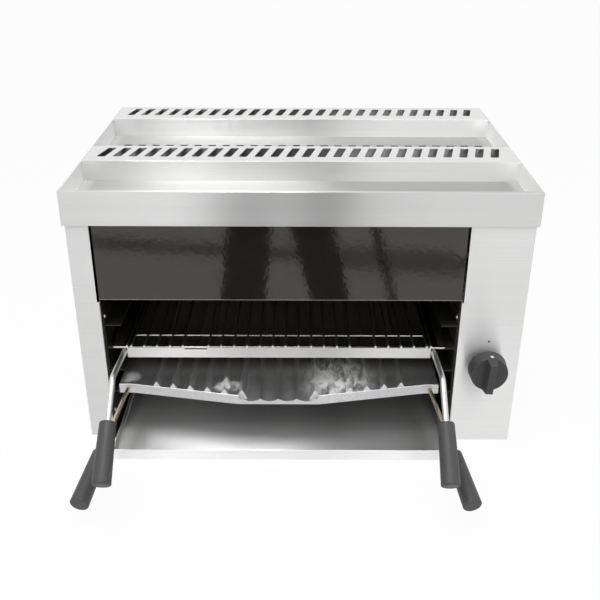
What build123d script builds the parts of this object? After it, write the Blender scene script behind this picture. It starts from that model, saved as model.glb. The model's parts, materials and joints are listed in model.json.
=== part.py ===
from build123d import *
import os
from math import cos, radians, sin

# Gas salamander grill: a hooded stainless case, a chamber open to the front with
# runners for a toasting rack and a brander plate, a drip tray, a ceramic burner
# above the food and a control compartment with one gas tap.
# Millimetres. X runs to the right, Y to the back and Z up. The origin lies on the
# underside of the base, below the middle of the hood.

os.makedirs("parts", exist_ok=True)

# Hood
hood_width = 620.0
hood_depth = 435.0
hood_skirt = 47.0
hood_sheet = 1.2
fascia_fold = 6.0
channel_depth = 29.0
front_rail_width = 74.0
middle_channel = 154.0
rear_rail_width = 78.0

# Flue slots
slot_width = 12.0
slot_length = 43.0
slot_lean = 9.5
slot_corner = 3.0
slot_margin = 17.5
slot_count = 26
front_row_setback = 20.5
middle_row_setback = 62.3
rear_row_setback = 24.7

# Case
case_inset_side = 2.0
case_inset_front = 8.0
case_inset_rear = 2.0
case_sheet = 1.2
chamber_height = 230.0
post_width = 33.5
control_width = 88.0
left_lift = 6.6
return_depth = 25.0
case_flange = 15.0
enamel_height = 111.6
enamel_setback = 1.2
enamel_sheet = 1.2
enamel_flange = 18.0
enamel_gap = 3.0
enamel_cover = 4.0
weld_gap = 0.05

# Chamber
flue_depth = 73.0
liner_sheet = 1.2
liner_top_gap = 12.0
runner_sheet = 1.5
runner_first = 81.0
runner_top_gap = 41.0
runner_count = 4
runner_ledge = 22.0
runner_end_gap = 3.0
runner_web_foot = 43.0
runner_web_head = 20.0
guide_height = 12.0
slide_gap = 0.3
side_gap = 0.5

# Screws
screw_radius = 2.0
screw_head_radius = 4.0
screw_head_height = 2.4
screw_dome_radius = 5.0
screw_clearance = 0.15
runner_screw_setback = 5.0
runner_screw_margin = 8.0

# Toasting rack
rack_side_gap = 8.7
rack_offset = -2.5
rack_rear_gap = 12.0
frame_wire = 3.0
frame_corner = 4.5
rod_wire = 3.0
rod_margin = 27.3
rod_pairs = 12
outer_rod_count = 5
cross_wire = 3.0
cross_wire_count = 2
cross_setback = 160.0
stop_wire = 2.4
stop_setback = 34.0
stop_inset = 26.5
stop_corner = 3.5
bar_inset = 22.8
bar_height = 16.0
bar_sheet = 2.0
bar_notch_length = 32.0
bar_notch_depth = 3.0

# Rack handles
rack_rod = 8.0
rack_rod_tail = 5.0
rack_handle_reach = 80.0
rack_handle_rise = 7.5
rack_handle_drop = 37.0
rack_handle_run = 143.0
rack_bend = 18.0
rack_root_bend = 30.0

# Grips
grip_length = 82.0
grip_front_radius = 12.5
grip_back_radius = 10.8
grip_edge = 2.0
grip_bore_depth = 62.0

# Brander plate
plate_side_gap = 15.5
plate_offset = -3.3
plate_rear_gap = 26.0
plate_thickness = 14.5
plate_bow = 29.0
plate_corner_flat = 19.0
plate_spout_flat = 114.0
plate_bow_radius = 45.0
plate_edge = 1.2
groove_margin = 32.2
groove_count = 16
ridge_height = 7.6
ridge_base = 11.2
ridge_root = 0.6
ridge_setback = 1.5
ridge_rear_margin = 16.0
spout_grooves = 4
spout_pitch = 25.65
spout_run = 72.0
spout_drop = 9.5
spout_cusp = 4.3
flank_rise = 0.6
recess_margin = 4.7
recess_rise = 2.8
recess_depth = 4.5
recess_corner = 3.0
plate_rim = 20.0
plate_skin = 6.0
plate_pocket_front = 46.0

# Plate handles
plate_rod = 6.4
plate_handle_inset = 12.5
plate_rod_socket = 15.0
plate_handle_splay = 33.0
plate_handle_reach = 188.0
plate_handle_fall = 54.0

# Drip tray
tray_side_gap = 6.5
tray_rear_gap = 5.0
tray_projection = 51.0
tray_wall = 16.8
tray_sheet = 1.0

# Burner
plaque_thickness = 13.0
plaque_columns = 3
plaque_rows = 2
plaque_gap = 1.0
burner_setback = 82.0
burner_rear_gap = 83.0
burner_side_gap = 47.25
burner_lift = 14.5
burner_sheet = 1.5
burner_height = 60.0
burner_flange_height = 17.5
burner_flange = 30.0
burner_frame_lap = 8.0
gauze_sheet = 0.8
gauze_bar = 5.0
gauze_columns = 18
gauze_rows = 9
support_leg = 20.0
baffle_lift = 12.0
baffle_overhang = 31.5
baffle_flange = 15.0

# Gas train
mixing_radius = 17.0
mixing_wall = 1.5
mixing_height = 38.0
mixing_reach = 16.0
mixing_flare = 3.0
injector_gap = 3.0
injector_length = 20.0
injector_radius = 7.0
injector_nozzle = 6.0
injector_nozzle_radius = 4.5
injector_plate = 36.0
bracket_sheet = 2.0
pipe_radius = 5.0
supply_radius = 6.0
pipe_bend = 16.0
supply_bend = 26.0
pipe_offset = 16.0
pipe_sidestep = 42.0
pipe_end_bend = 14.0
supply_height = 60.0
inlet_radius = 10.48
inlet_length = 20.0
inlet_lead_in = 1.2
bulkhead_radius = 13.0
bulkhead_reach = 1.0
inlet_collar_radius = 17.0
inlet_collar_length = 14.0
locknut_thickness = 7.0
locknut_flats = 36.0

# Tap, spindle and knob
knob_height_on_panel = 134.5
knob_offset = -3.3
knob_neck_radius = 19.0
knob_neck = 12.0
knob_base_radius = 26.8
knob_face_radius = 25.5
knob_thickness = 30.5
knob_bar_width = 13.4
knob_bar_height = 15.0
knob_bar_taper = 7.0
knob_bar_turn = -3.5
knob_edge = 1.2
knob_gap = 4.5
knob_push = 3.5
knob_bore_depth = 18.0
spindle_radius = 4.0
spindle_clearance = 0.05
spindle_hole_clearance = 2.0
spindle_tail = 10.0
plunger_length = 22.0
tap_flange_length = 50.0
tap_flange_height = 30.0
tap_flange_thickness = 4.0
tap_body_radius = 15.0
tap_body_length = 46.0
tap_tail_radius = 10.0
tap_tail_length = 24.0
tap_stub_length = 14.0
tap_stub_setback = 24.0
tap_stub_wall = 4.0
tap_bracket_margin = 6.0
tap_screw_spacing = 38.0
probe_radius = 3.0
probe_length = 34.0
probe_collar_radius = 5.0
probe_collar_length = 8.0
probe_lead_radius = 1.25
probe_setback = 118.0
probe_bend = 14.0
probe_nut_thickness = 5.0
probe_nut_flats = 14.0

# Back of the case
wall_hole_radius = 4.5
wall_hole_spacing_x = 480.0
wall_hole_spacing_z = 180.0
wall_hole_height = 190.0
vent_length = 60.0
vent_width = 6.0
vent_margin = 85.0
vent_pitch_z = 16.0
vent_columns = 5
vent_rows = 3
vent_drop = 42.4
rear_screw_low = 40.0
rear_screw_drop = 21.6
rear_screw_rows = 3
hood_screw_margin = 50.0
hood_screw_count = 3

# Places that follow from the sizes
hood_front = -hood_depth / 2
hood_rear = hood_depth / 2
case_left = -hood_width / 2 + case_inset_side
case_right = hood_width / 2 - case_inset_side
case_front = hood_front + case_inset_front
case_rear = hood_rear - case_inset_rear
opening_left = case_left + post_width
opening_right = case_right - control_width
opening_centre = (opening_left + opening_right) / 2
enamel_bottom = chamber_height
fascia_bottom = enamel_bottom + enamel_height
case_height = fascia_bottom + hood_skirt
deck_floor = case_height - channel_depth
case_top = deck_floor - hood_sheet
rear_rail_start = hood_depth - rear_rail_width
front_rail_end = rear_rail_start - middle_channel
front_rail_start = front_rail_end - front_rail_width
slot_pitch = (hood_width - 2 * slot_margin) / slot_count
enamel_front = case_front + enamel_setback
liner_front = enamel_front + enamel_sheet
chamber_depth = case_rear - case_front - flue_depth
liner_rear = case_front + chamber_depth
liner_top = case_top - liner_top_gap
liner_half = (opening_right - opening_left) / 2 - liner_sheet
runner_half = liner_half - runner_sheet
ledge_half = runner_half - runner_ledge
runner_top = chamber_height - runner_top_gap
runner_pitch = (runner_top - runner_first) / (runner_count - 1)
runner_web_low = runner_first - runner_web_foot
runner_web_high = runner_top + runner_web_head
notch_bottom = enamel_bottom - enamel_gap
knob_x = (opening_right + case_right) / 2 + knob_offset
knob_z = knob_height_on_panel
hood_screw_z = (fascia_bottom + case_top) / 2
hood_screw_pitch = (hood_width - 2 * hood_screw_margin) / (hood_screw_count - 1)
rack_width = 2 * (runner_half - rack_side_gap)
rack_centre = opening_centre + rack_offset
rack_depth = chamber_depth - rack_rear_gap
plate_width = 2 * (runner_half - plate_side_gap)
plate_centre = opening_centre + plate_offset
plate_depth = chamber_depth - plate_rear_gap
tray_width = 2 * (liner_half - tray_side_gap)
tray_length = tray_projection + chamber_depth - tray_rear_gap


def slab(x, y, z, mode=Mode.ADD):
    """A block between two limits along each axis."""
    middle = ((x[0] + x[1]) / 2, (y[0] + y[1]) / 2, (z[0] + z[1]) / 2)
    with Locations(middle):
        Box(x[1] - x[0], y[1] - y[0], z[1] - z[0], mode=mode)


def folded(points, thickness, side):
    """The section of a folded sheet: a line through points, thickened to one side."""
    with BuildLine() as bend:
        Polyline(*points)
        offset(amount=thickness, side=side, kind=Kind.INTERSECTION)
    make_face(bend.edges())


def bent_wire(points, radii, wire_radius, close=False):
    """A round wire along straight runs joined by tangent arcs."""
    with BuildLine() as route:
        FilletPolyline(*points, radius=radii, close=close)
    with BuildSketch(Plane(route.line @ 0, z_dir=route.line % 0)) as section:
        Circle(wire_radius)
    sweep(section.sketch, path=route.line)


def save(piece, name):
    """Label a finished piece and write it to its file."""
    piece.part.label = name
    export_step(piece.part, f"parts/{name}.step")


def side_mirror(side, limits):
    """Limits measured from the opening's centre line, taken to one side of it."""
    ends = (opening_centre + side * limits[0], opening_centre + side * limits[1])
    return (min(ends), max(ends))


# Hood shell: fascia, side skirts and rear skirt in one welded band
with BuildPart() as hood_shell:
    with BuildSketch(Plane.XY.offset(fascia_bottom)):
        Rectangle(hood_width, hood_depth)
        offset(amount=-hood_sheet, kind=Kind.INTERSECTION, mode=Mode.SUBTRACT)
    extrude(amount=hood_skirt)
    inner_half = hood_width / 2 - hood_sheet
    slab(
        (-inner_half, inner_half),
        (hood_front, hood_front + fascia_fold),
        (case_height - hood_sheet, case_height),
    )
    slab(
        (-inner_half, inner_half),
        (hood_front, case_front - slide_gap),
        (fascia_bottom, fascia_bottom + hood_sheet),
    )
    with BuildSketch(Plane.XZ.offset(-hood_rear)):
        with Locations((0, hood_screw_z)):
            with GridLocations(hood_screw_pitch, 1, hood_screw_count, 1):
                Circle(screw_radius + screw_clearance)
    extrude(amount=2 * hood_sheet, both=True, mode=Mode.SUBTRACT)
save(hood_shell, "hood_shell")

# Flue deck: one folded sheet with two raised rails and three rows of slots
with BuildSketch() as flue_slot:
    half_lean = slot_lean / 2
    half_slot = slot_width / 2
    Polygon(
        (-half_lean - half_slot, -slot_length / 2),
        (-half_lean + half_slot, -slot_length / 2),
        (half_lean + half_slot, slot_length / 2),
        (half_lean - half_slot, slot_length / 2),
        align=None,
    )
    fillet(flue_slot.vertices(), slot_corner)

slot_rows = [
    (front_rail_start + front_row_setback, case_height),
    (front_rail_end + middle_row_setback, deck_floor),
    (rear_rail_start + rear_row_setback, case_height),
]

with BuildPart() as flue_deck:
    deck_low = deck_floor
    deck_high = case_height
    with BuildSketch(Plane.YZ):
        folded(
            [
                (hood_front + hood_sheet, deck_low),
                (hood_front + front_rail_start, deck_low),
                (hood_front + front_rail_start, deck_high),
                (hood_front + front_rail_end, deck_high),
                (hood_front + front_rail_end, deck_low),
                (hood_front + rear_rail_start, deck_low),
                (hood_front + rear_rail_start, deck_high),
                (hood_rear - hood_sheet, deck_high),
            ],
            hood_sheet,
            Side.RIGHT,
        )
    extrude(amount=hood_width / 2 - hood_sheet, both=True)
    for row_start, row_top in slot_rows:
        with BuildSketch(Plane.XY.offset(row_top)):
            with Locations((0, hood_front + row_start + slot_length / 2)):
                with GridLocations(slot_pitch, 1, slot_count, 1):
                    add(flue_slot.sketch)
        extrude(amount=-2 * hood_sheet, mode=Mode.SUBTRACT)
save(flue_deck, "flue_deck")

# Burner places
burner_length = opening_right - opening_left - 2 * burner_side_gap
burner_width = chamber_depth - burner_setback - burner_rear_gap
plaque_length = (burner_length - plaque_gap) / plaque_columns - plaque_gap
plaque_width = (burner_width - plaque_gap) / plaque_rows - plaque_gap
burner_bottom = enamel_bottom + burner_lift
burner_y = case_front + burner_setback + burner_width / 2
burner_half = burner_length / 2 + burner_sheet
mixing_z = burner_bottom + mixing_height
probe_y = case_front + probe_setback
probe_z = (enamel_bottom + burner_bottom - burner_sheet) / 2
runner_screw_ys = (
    liner_front + runner_end_gap + runner_screw_setback,
    liner_rear - runner_end_gap - runner_screw_setback,
)
runner_screw_zs = (
    runner_web_low + runner_screw_margin,
    runner_web_high - runner_screw_margin,
)
runner_screw_places = [(y, z) for y in runner_screw_ys for z in runner_screw_zs]
front_screw_places = [(runner_screw_ys[0], z) for z in runner_screw_zs]


def drill_across(side, radius, places):
    """Round holes along X through a wall on one side of the chamber."""
    with Locations(*[Pos(opening_centre + side * liner_half, y, z) * Rot(0, 90, 0) for y, z in places]):
        Cylinder(radius, 4 * liner_sheet + 2 * runner_sheet, mode=Mode.SUBTRACT)


# Left side panel: post, side wall and rear flange folded from one sheet
rear_flange_y = case_rear - case_sheet
rear_screw_high = fascia_bottom - rear_screw_drop
rear_screw_pitch = (rear_screw_high - rear_screw_low) / (rear_screw_rows - 1)
rear_screw_heights = [rear_screw_low + rear_screw_pitch * i for i in range(rear_screw_rows)]
rear_screw_x = case_right - case_flange / 2

with BuildPart() as left_side_panel:
    with BuildSketch(Plane.XY.offset(left_lift)):
        folded(
            [
                (opening_left, case_front + return_depth),
                (opening_left, case_front),
                (case_left, case_front),
                (case_left, rear_flange_y),
                (case_left + case_flange, rear_flange_y),
            ],
            case_sheet,
            Side.RIGHT,
        )
    extrude(amount=case_top - left_lift)
    slab(
        (case_left, case_left + case_flange),
        (case_front, rear_flange_y),
        (case_top - case_sheet, case_top),
    )
    slab(
        (case_left, opening_left),
        (case_front, rear_flange_y),
        (left_lift, left_lift + case_sheet),
    )
    slab(
        (opening_left - enamel_gap, opening_left),
        (case_front, case_front + return_depth),
        (notch_bottom, case_top),
        Mode.SUBTRACT,
    )
    with BuildSketch(Plane.XZ.offset(-rear_flange_y)):
        with Locations(*[(-rear_screw_x, z) for z in rear_screw_heights]):
            Circle(screw_radius + screw_clearance)
    extrude(amount=2 * case_sheet, both=True, mode=Mode.SUBTRACT)
    drill_across(-1, screw_radius + screw_clearance, front_screw_places)
save(left_side_panel, "left_side_panel")

# Right side panel: side wall, rear flange and top flange
with BuildPart() as right_side_panel:
    with BuildSketch(Plane.XY):
        folded(
            [
                (case_right, case_front + case_sheet),
                (case_right, rear_flange_y),
                (case_right - case_flange, rear_flange_y),
            ],
            case_sheet,
            Side.LEFT,
        )
    extrude(amount=case_top)
    slab(
        (case_right - case_flange, case_right),
        (case_front + case_sheet, rear_flange_y),
        (case_top - case_sheet, case_top),
    )
    with BuildSketch(Plane.XZ.offset(-rear_flange_y)):
        with Locations(*[(rear_screw_x, z) for z in rear_screw_heights]):
            Circle(screw_radius + screw_clearance)
    extrude(amount=2 * case_sheet, both=True, mode=Mode.SUBTRACT)
save(right_side_panel, "right_side_panel")

# Control panel: the right front, folded back beside the chamber
with BuildPart() as control_panel:
    with BuildSketch(Plane.XY):
        folded(
            [
                (case_right, case_front),
                (opening_right, case_front),
                (opening_right, case_front + return_depth),
            ],
            case_sheet,
            Side.RIGHT,
        )
    extrude(amount=case_top)
    slab(
        (opening_right, opening_right + enamel_gap),
        (case_front, case_front + return_depth),
        (notch_bottom, case_top),
        Mode.SUBTRACT,
    )
    with Locations(Pos(knob_x, case_front, knob_z) * Rot(90, 0, 0)):
        Hole(radius=spindle_radius + spindle_hole_clearance)
    drill_across(1, screw_radius + screw_clearance, front_screw_places)
    slab(
        (opening_right, opening_right + case_sheet),
        (case_front + case_sheet, case_front + return_depth),
        (0, case_sheet),
        Mode.SUBTRACT,
    )
save(control_panel, "control_panel")

# Rear panel: closes the back, with vents, wall fixings and the gas inlet
supply_x = knob_x
with BuildPart() as rear_panel:
    slab(
        (case_left, case_right),
        (rear_flange_y, case_rear),
        (left_lift, case_top),
    )
    with BuildSketch(Plane.XZ.offset(-case_rear)):
        with Locations((0, case_top - vent_drop)):
            vent_pitch_x = (hood_width - 2 * vent_margin) / vent_columns
            with GridLocations(vent_pitch_x, vent_pitch_z, vent_columns, vent_rows):
                SlotOverall(vent_length, vent_width)
        with Locations((0, wall_hole_height)):
            with GridLocations(wall_hole_spacing_x, wall_hole_spacing_z, 2, 2):
                Circle(wall_hole_radius)
        with Locations((supply_x, supply_height)):
            Circle(bulkhead_radius + slide_gap)
        with Locations((0, hood_screw_z)):
            with GridLocations(hood_screw_pitch, 1, hood_screw_count, 1):
                Circle(screw_radius + screw_clearance)
        with Locations(*[(side * rear_screw_x, z) for side in (-1, 1) for z in rear_screw_heights]):
            Circle(screw_radius + screw_clearance)
    extrude(amount=2 * case_sheet, mode=Mode.SUBTRACT, both=True)
save(rear_panel, "rear_panel")

# Base panel: a shallow pan under the chamber and the control compartment
base_left = opening_left - case_sheet
with BuildPart() as base_panel:
    slab(
        (base_left, case_right - case_sheet),
        (case_front + case_sheet, rear_flange_y - case_sheet),
        (0, case_sheet),
    )
    slab(
        (base_left, opening_left),
        (case_front + case_sheet, rear_flange_y - case_sheet),
        (0, left_lift),
    )
save(base_panel, "base_panel")

# Enamelled front panel: hides the burner, with returns at the foot and the ends
with BuildPart() as enamel_front_panel:
    enamel_top = fascia_bottom + enamel_cover
    enamel_back = enamel_front + enamel_flange
    slab(
        (opening_left, opening_right),
        (enamel_front, enamel_front + enamel_sheet),
        (enamel_bottom, enamel_top),
    )
    slab(
        (opening_left + liner_sheet, opening_right - liner_sheet),
        (enamel_front, enamel_back),
        (enamel_bottom, enamel_bottom + enamel_sheet),
    )
    for side in (-1, 1):
        slab(
            side_mirror(side, (liner_half - enamel_sheet, liner_half)),
            (enamel_front, enamel_back),
            (enamel_bottom, enamel_top),
        )
save(enamel_front_panel, "enamel_front_panel")

# Chamber walls and the runner ladders fixed to them
for side, hand in ((-1, "left"), (1, "right")):
    with BuildPart() as chamber_wall:
        slab(
            side_mirror(side, (liner_half, liner_half + liner_sheet)),
            (liner_front, liner_rear),
            (case_sheet, liner_top),
        )
        drill_across(side, screw_radius + screw_clearance, runner_screw_places)
        if side > 0:
            drill_across(side, mixing_radius + slide_gap, [(burner_y, mixing_z)])
            drill_across(side, probe_radius + slide_gap, [(probe_y, probe_z)])
    save(chamber_wall, f"chamber_wall_{hand}")

    with BuildPart() as runner_ladder:
        slab(
            side_mirror(side, (runner_half, liner_half)),
            (liner_front + runner_end_gap, liner_rear - runner_end_gap),
            (runner_web_low, runner_web_high),
        )
        for level in range(runner_count):
            ledge_top = runner_first + level * runner_pitch
            slab(
                side_mirror(side, (ledge_half, liner_half)),
                (liner_front + runner_end_gap, liner_rear - runner_end_gap),
                (ledge_top - runner_sheet, ledge_top),
            )
        drill_across(side, screw_radius + screw_clearance, runner_screw_places)
    save(runner_ladder, f"runner_ladder_{hand}")

    with BuildPart() as tray_guide:
        guide_half = tray_width / 2 + side_gap
        slab(
            side_mirror(side, (guide_half, liner_half)),
            (liner_front, liner_rear),
            (case_sheet, 2 * case_sheet),
        )
        slab(
            side_mirror(side, (guide_half, guide_half + case_sheet)),
            (liner_front, liner_rear),
            (case_sheet, case_sheet + guide_height),
        )
    save(tray_guide, f"tray_guide_{hand}")

    with BuildPart() as burner_support:
        support_top = burner_bottom + burner_flange_height
        slab(
            side_mirror(side, (liner_half - burner_sheet, liner_half)),
            (burner_y - burner_width / 2, burner_y + burner_width / 2),
            (support_top - support_leg, support_top),
        )
        slab(
            side_mirror(side, (burner_half + side_gap, liner_half)),
            (burner_y - burner_width / 2, burner_y + burner_width / 2),
            (support_top - burner_sheet, support_top),
        )
    save(burner_support, f"burner_support_{hand}")

with BuildPart() as chamber_back:
    slab(
        (opening_left, opening_right),
        (liner_rear, liner_rear + liner_sheet),
        (case_sheet, liner_top),
    )
save(chamber_back, "chamber_back")

# Screws with domed heads, grouped by what they hold
def screw(length):
    """A screw along -Z from the origin with its domed head above."""
    Cylinder(screw_radius, length, align=(Align.CENTER, Align.CENTER, Align.MAX))
    with BuildSketch(Plane.XZ) as head:
        with BuildLine() as outline:
            Line((0, 0), (screw_head_radius, 0))
            Line((0, 0), (0, screw_head_height))
            RadiusArc((0, screw_head_height), (screw_head_radius, 0), screw_dome_radius)
        make_face(outline.edges())
    revolve(head.sketch, axis=Axis.Z)


with BuildPart() as runner_screw:
    screw(runner_sheet + 2 * liner_sheet + case_sheet)
with BuildPart() as case_screw:
    screw(4 * case_sheet)
with BuildPart() as tap_screw:
    screw(tap_flange_thickness + bracket_sheet)

with BuildPart() as runner_screws:
    for side in (-1, 1):
        face_x = opening_centre + side * runner_half
        with Locations(*[Pos(face_x, y, z) * Rot(0, -side * 90, 0) for y, z in runner_screw_places]):
            add(runner_screw.part)
save(runner_screws, "runner_screws")

with BuildPart() as rear_screws:
    with Locations(
        *[Pos(side * rear_screw_x, case_rear, z) * Rot(-90, 0, 0) for side in (-1, 1) for z in rear_screw_heights]
    ):
        add(case_screw.part)
save(rear_screws, "rear_screws")

with BuildPart() as hood_screws:
    with Locations(Pos(0, hood_rear, hood_screw_z) * Rot(-90, 0, 0)):
        with GridLocations(hood_screw_pitch, 1, hood_screw_count, 1):
            add(case_screw.part)
save(hood_screws, "hood_screws")

# Burner: a pressed box over six ceramic plaques, held up by a frame
with BuildPart() as burner_box:
    with Locations((opening_centre, burner_y, burner_bottom)):
        Box(
            burner_length + 2 * burner_sheet,
            burner_width + 2 * burner_sheet,
            burner_height,
            align=(Align.CENTER, Align.CENTER, Align.MIN),
        )
        Box(
            burner_length,
            burner_width,
            burner_height - burner_sheet,
            align=(Align.CENTER, Align.CENTER, Align.MIN),
            mode=Mode.SUBTRACT,
        )
    for side in (-1, 1):
        slab(
            side_mirror(side, (burner_half, burner_half + burner_flange)),
            (burner_y - burner_width / 2, burner_y + burner_width / 2),
            (support_top, support_top + burner_sheet),
        )
    with Locations(Pos(opening_centre + burner_half, burner_y, mixing_z) * Rot(0, 90, 0)):
        Cylinder(mixing_radius - mixing_wall, 4 * burner_sheet, mode=Mode.SUBTRACT)
save(burner_box, "burner_box")

with BuildPart() as burner_frame:
    with BuildSketch(Plane((opening_centre, burner_y, burner_bottom - burner_sheet))):
        Rectangle(burner_length + 2 * burner_frame_lap, burner_width + 2 * burner_frame_lap)
        Rectangle(
            burner_length - 2 * burner_frame_lap,
            burner_width - 2 * burner_frame_lap,
            mode=Mode.SUBTRACT,
        )
    extrude(amount=burner_sheet)
save(burner_frame, "burner_frame")

with BuildPart() as burner_gauze:
    gauze_length = burner_length - 2 * plaque_gap
    gauze_width = burner_width - 2 * plaque_gap
    with BuildSketch(Plane((opening_centre, burner_y, burner_bottom))):
        Rectangle(gauze_length, gauze_width)
        cell_x = (gauze_length - gauze_bar) / gauze_columns
        cell_y = (gauze_width - gauze_bar) / gauze_rows
        with GridLocations(cell_x, cell_y, gauze_columns, gauze_rows):
            Rectangle(cell_x - gauze_bar, cell_y - gauze_bar, mode=Mode.SUBTRACT)
    extrude(amount=gauze_sheet)
save(burner_gauze, "burner_gauze")

with BuildPart() as burner_plaques:
    with Locations((opening_centre, burner_y, burner_bottom + gauze_sheet)):
        with GridLocations(
            plaque_length + plaque_gap, plaque_width + plaque_gap, plaque_columns, plaque_rows
        ):
            Box(
                plaque_length,
                plaque_width,
                plaque_thickness,
                align=(Align.CENTER, Align.CENTER, Align.MIN),
            )
save(burner_plaques, "burner_plaques")

# Flue baffle: a shield over the burner, welded between the chamber walls
with BuildPart() as flue_baffle:
    baffle_z = burner_bottom + burner_height + baffle_lift
    baffle_half = burner_width / 2 + baffle_overhang
    baffle_ys = (burner_y - baffle_half, burner_y + baffle_half)
    slab((opening_left + liner_sheet, opening_right - liner_sheet), baffle_ys, (baffle_z, baffle_z + liner_sheet))
    for side in (-1, 1):
        slab(
            side_mirror(side, (liner_half - liner_sheet, liner_half)),
            baffle_ys,
            (baffle_z - baffle_flange, baffle_z + liner_sheet),
        )
save(flue_baffle, "flue_baffle")

# Mixing tube: carries gas and air from the injector into the burner box
tube_start = opening_centre + burner_half
tube_mouth = opening_right + mixing_reach
with BuildPart() as mixing_tube:
    with BuildSketch(Plane.XZ.offset(-burner_y)):
        with BuildLine():
            Polyline(
                (tube_start, mixing_z + mixing_radius - mixing_wall),
                (tube_start, mixing_z + mixing_radius),
                (tube_mouth - mixing_flare, mixing_z + mixing_radius),
                (tube_mouth, mixing_z + mixing_radius + mixing_flare),
                (tube_mouth, mixing_z + mixing_radius + mixing_flare - mixing_wall),
                (tube_mouth - mixing_flare, mixing_z + mixing_radius - mixing_wall),
                close=True,
            )
        make_face()
    revolve(axis=Axis((tube_start, burner_y, mixing_z), (1, 0, 0)))
save(mixing_tube, "mixing_tube")

# Injector, its bracket and the pipe that feeds it
injector_x = tube_mouth + injector_gap
with BuildPart() as injector:
    with Locations(Pos(injector_x, burner_y, mixing_z) * Rot(0, 90, 0)):
        Cylinder(
            injector_nozzle_radius,
            injector_nozzle + injector_length,
            align=(Align.CENTER, Align.CENTER, Align.MIN),
        )
    with BuildSketch(Plane.YZ.offset(injector_x + injector_nozzle + bracket_sheet)):
        with Locations((burner_y, mixing_z)):
            RegularPolygon(injector_radius, 6, major_radius=False)
    extrude(amount=injector_length - bracket_sheet)
save(injector, "injector")

with BuildPart() as injector_bracket:
    plate_x = injector_x + injector_nozzle
    plate_top = mixing_z + injector_plate
    slab(
        (plate_x, plate_x + bracket_sheet),
        (burner_y - injector_plate / 2, burner_y + injector_plate / 2),
        (mixing_z - injector_plate / 2, plate_top),
    )
    slab(
        (opening_right, plate_x + bracket_sheet),
        (burner_y - injector_plate / 2, burner_y + injector_plate / 2),
        (plate_top - bracket_sheet, plate_top),
    )
    with Locations(Pos(plate_x, burner_y, mixing_z) * Rot(0, 90, 0)):
        Cylinder(injector_nozzle_radius + weld_gap, 4 * bracket_sheet, mode=Mode.SUBTRACT)
save(injector_bracket, "injector_bracket")

# Gas tap behind the control panel, on a bracket welded to the panel
panel_back = case_front + case_sheet
tap_face = panel_back + bracket_sheet
tap_body_end = tap_face + tap_flange_thickness + tap_body_length
tap_tail_end = tap_body_end + tap_tail_length
spindle_end = tap_face + tap_flange_thickness + spindle_tail
plunger_end = spindle_end + plunger_length
stub_y = tap_face + tap_flange_thickness + tap_stub_setback
tap_screw_places = [Pos(knob_x + side * tap_screw_spacing / 2, 0, knob_z) for side in (-1, 1)]

with BuildPart() as tap_bracket:
    with BuildSketch(Plane.XZ.offset(-panel_back)):
        with Locations((knob_x, knob_z)):
            Rectangle(tap_flange_length + 2 * tap_bracket_margin, tap_flange_height + 2 * tap_bracket_margin)
            Circle(spindle_radius + spindle_hole_clearance, mode=Mode.SUBTRACT)
            with GridLocations(tap_screw_spacing, 1, 2, 1):
                Circle(screw_radius + screw_clearance, mode=Mode.SUBTRACT)
    extrude(amount=-bracket_sheet)
save(tap_bracket, "tap_bracket")

with BuildPart() as gas_tap:
    with BuildSketch(Plane.XZ.offset(-tap_face)):
        with Locations((knob_x, knob_z)):
            Rectangle(tap_flange_length, tap_flange_height)
    extrude(amount=-tap_flange_thickness)
    with BuildSketch(Plane.XZ.offset(-tap_face)):
        with Locations((knob_x, knob_z)):
            Circle(tap_body_radius)
    extrude(amount=-tap_flange_thickness - tap_body_length)
    with BuildSketch(Plane.XZ.offset(-tap_body_end)):
        with Locations((knob_x, knob_z)):
            Circle(tap_tail_radius)
    extrude(amount=-tap_tail_length)
    stub_reach = tap_body_radius + tap_stub_length
    with Locations((knob_x, stub_y, knob_z)):
        Cylinder(pipe_radius + tap_stub_wall, stub_reach, align=(Align.CENTER, Align.CENTER, Align.MIN))
        Cylinder(supply_radius + tap_stub_wall, stub_reach, align=(Align.CENTER, Align.CENTER, Align.MAX))
    with BuildSketch(Plane.XZ.offset(-tap_face)):
        with Locations((knob_x, knob_z)):
            Circle(spindle_radius + spindle_clearance)
    extrude(amount=-(plunger_end + knob_push + slide_gap - tap_face), mode=Mode.SUBTRACT)
    with BuildSketch(Plane.XZ.offset(-tap_face)):
        with Locations((knob_x, knob_z)):
            with GridLocations(tap_screw_spacing, 1, 2, 1):
                Circle(screw_radius + screw_clearance)
    extrude(amount=-tap_flange_thickness, mode=Mode.SUBTRACT)
save(gas_tap, "gas_tap")

with BuildPart() as tap_screws:
    screw_seat = tap_face + tap_flange_thickness
    with Locations(*[Pos(0, screw_seat, 0) * place * Rot(-90, 0, 0) for place in tap_screw_places]):
        add(tap_screw.part)
save(tap_screws, "tap_screws")

with BuildPart() as burner_pipe:
    pipe_start = knob_z + tap_body_radius + tap_stub_length
    pipe_end = injector_x + injector_nozzle + injector_length
    bent_wire(
        [
            (knob_x, stub_y, pipe_start),
            (knob_x, stub_y, mixing_z),
            (pipe_end + pipe_offset, stub_y + pipe_sidestep, mixing_z),
            (pipe_end + pipe_offset, burner_y, mixing_z),
            (pipe_end, burner_y, mixing_z),
        ],
        [pipe_bend, pipe_bend, pipe_end_bend],
        pipe_radius,
    )
save(burner_pipe, "burner_pipe")

# Gas supply from the threaded inlet at the back
inlet_start = rear_flange_y - inlet_collar_length
bulkhead_length = case_sheet + locknut_thickness + bulkhead_reach
with BuildPart() as supply_pipe:
    bent_wire(
        [
            (knob_x, stub_y, knob_z - tap_body_radius - tap_stub_length),
            (knob_x, stub_y, supply_height),
            (supply_x, inlet_start, supply_height),
        ],
        supply_bend,
        supply_radius,
    )
save(supply_pipe, "supply_pipe")

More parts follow.
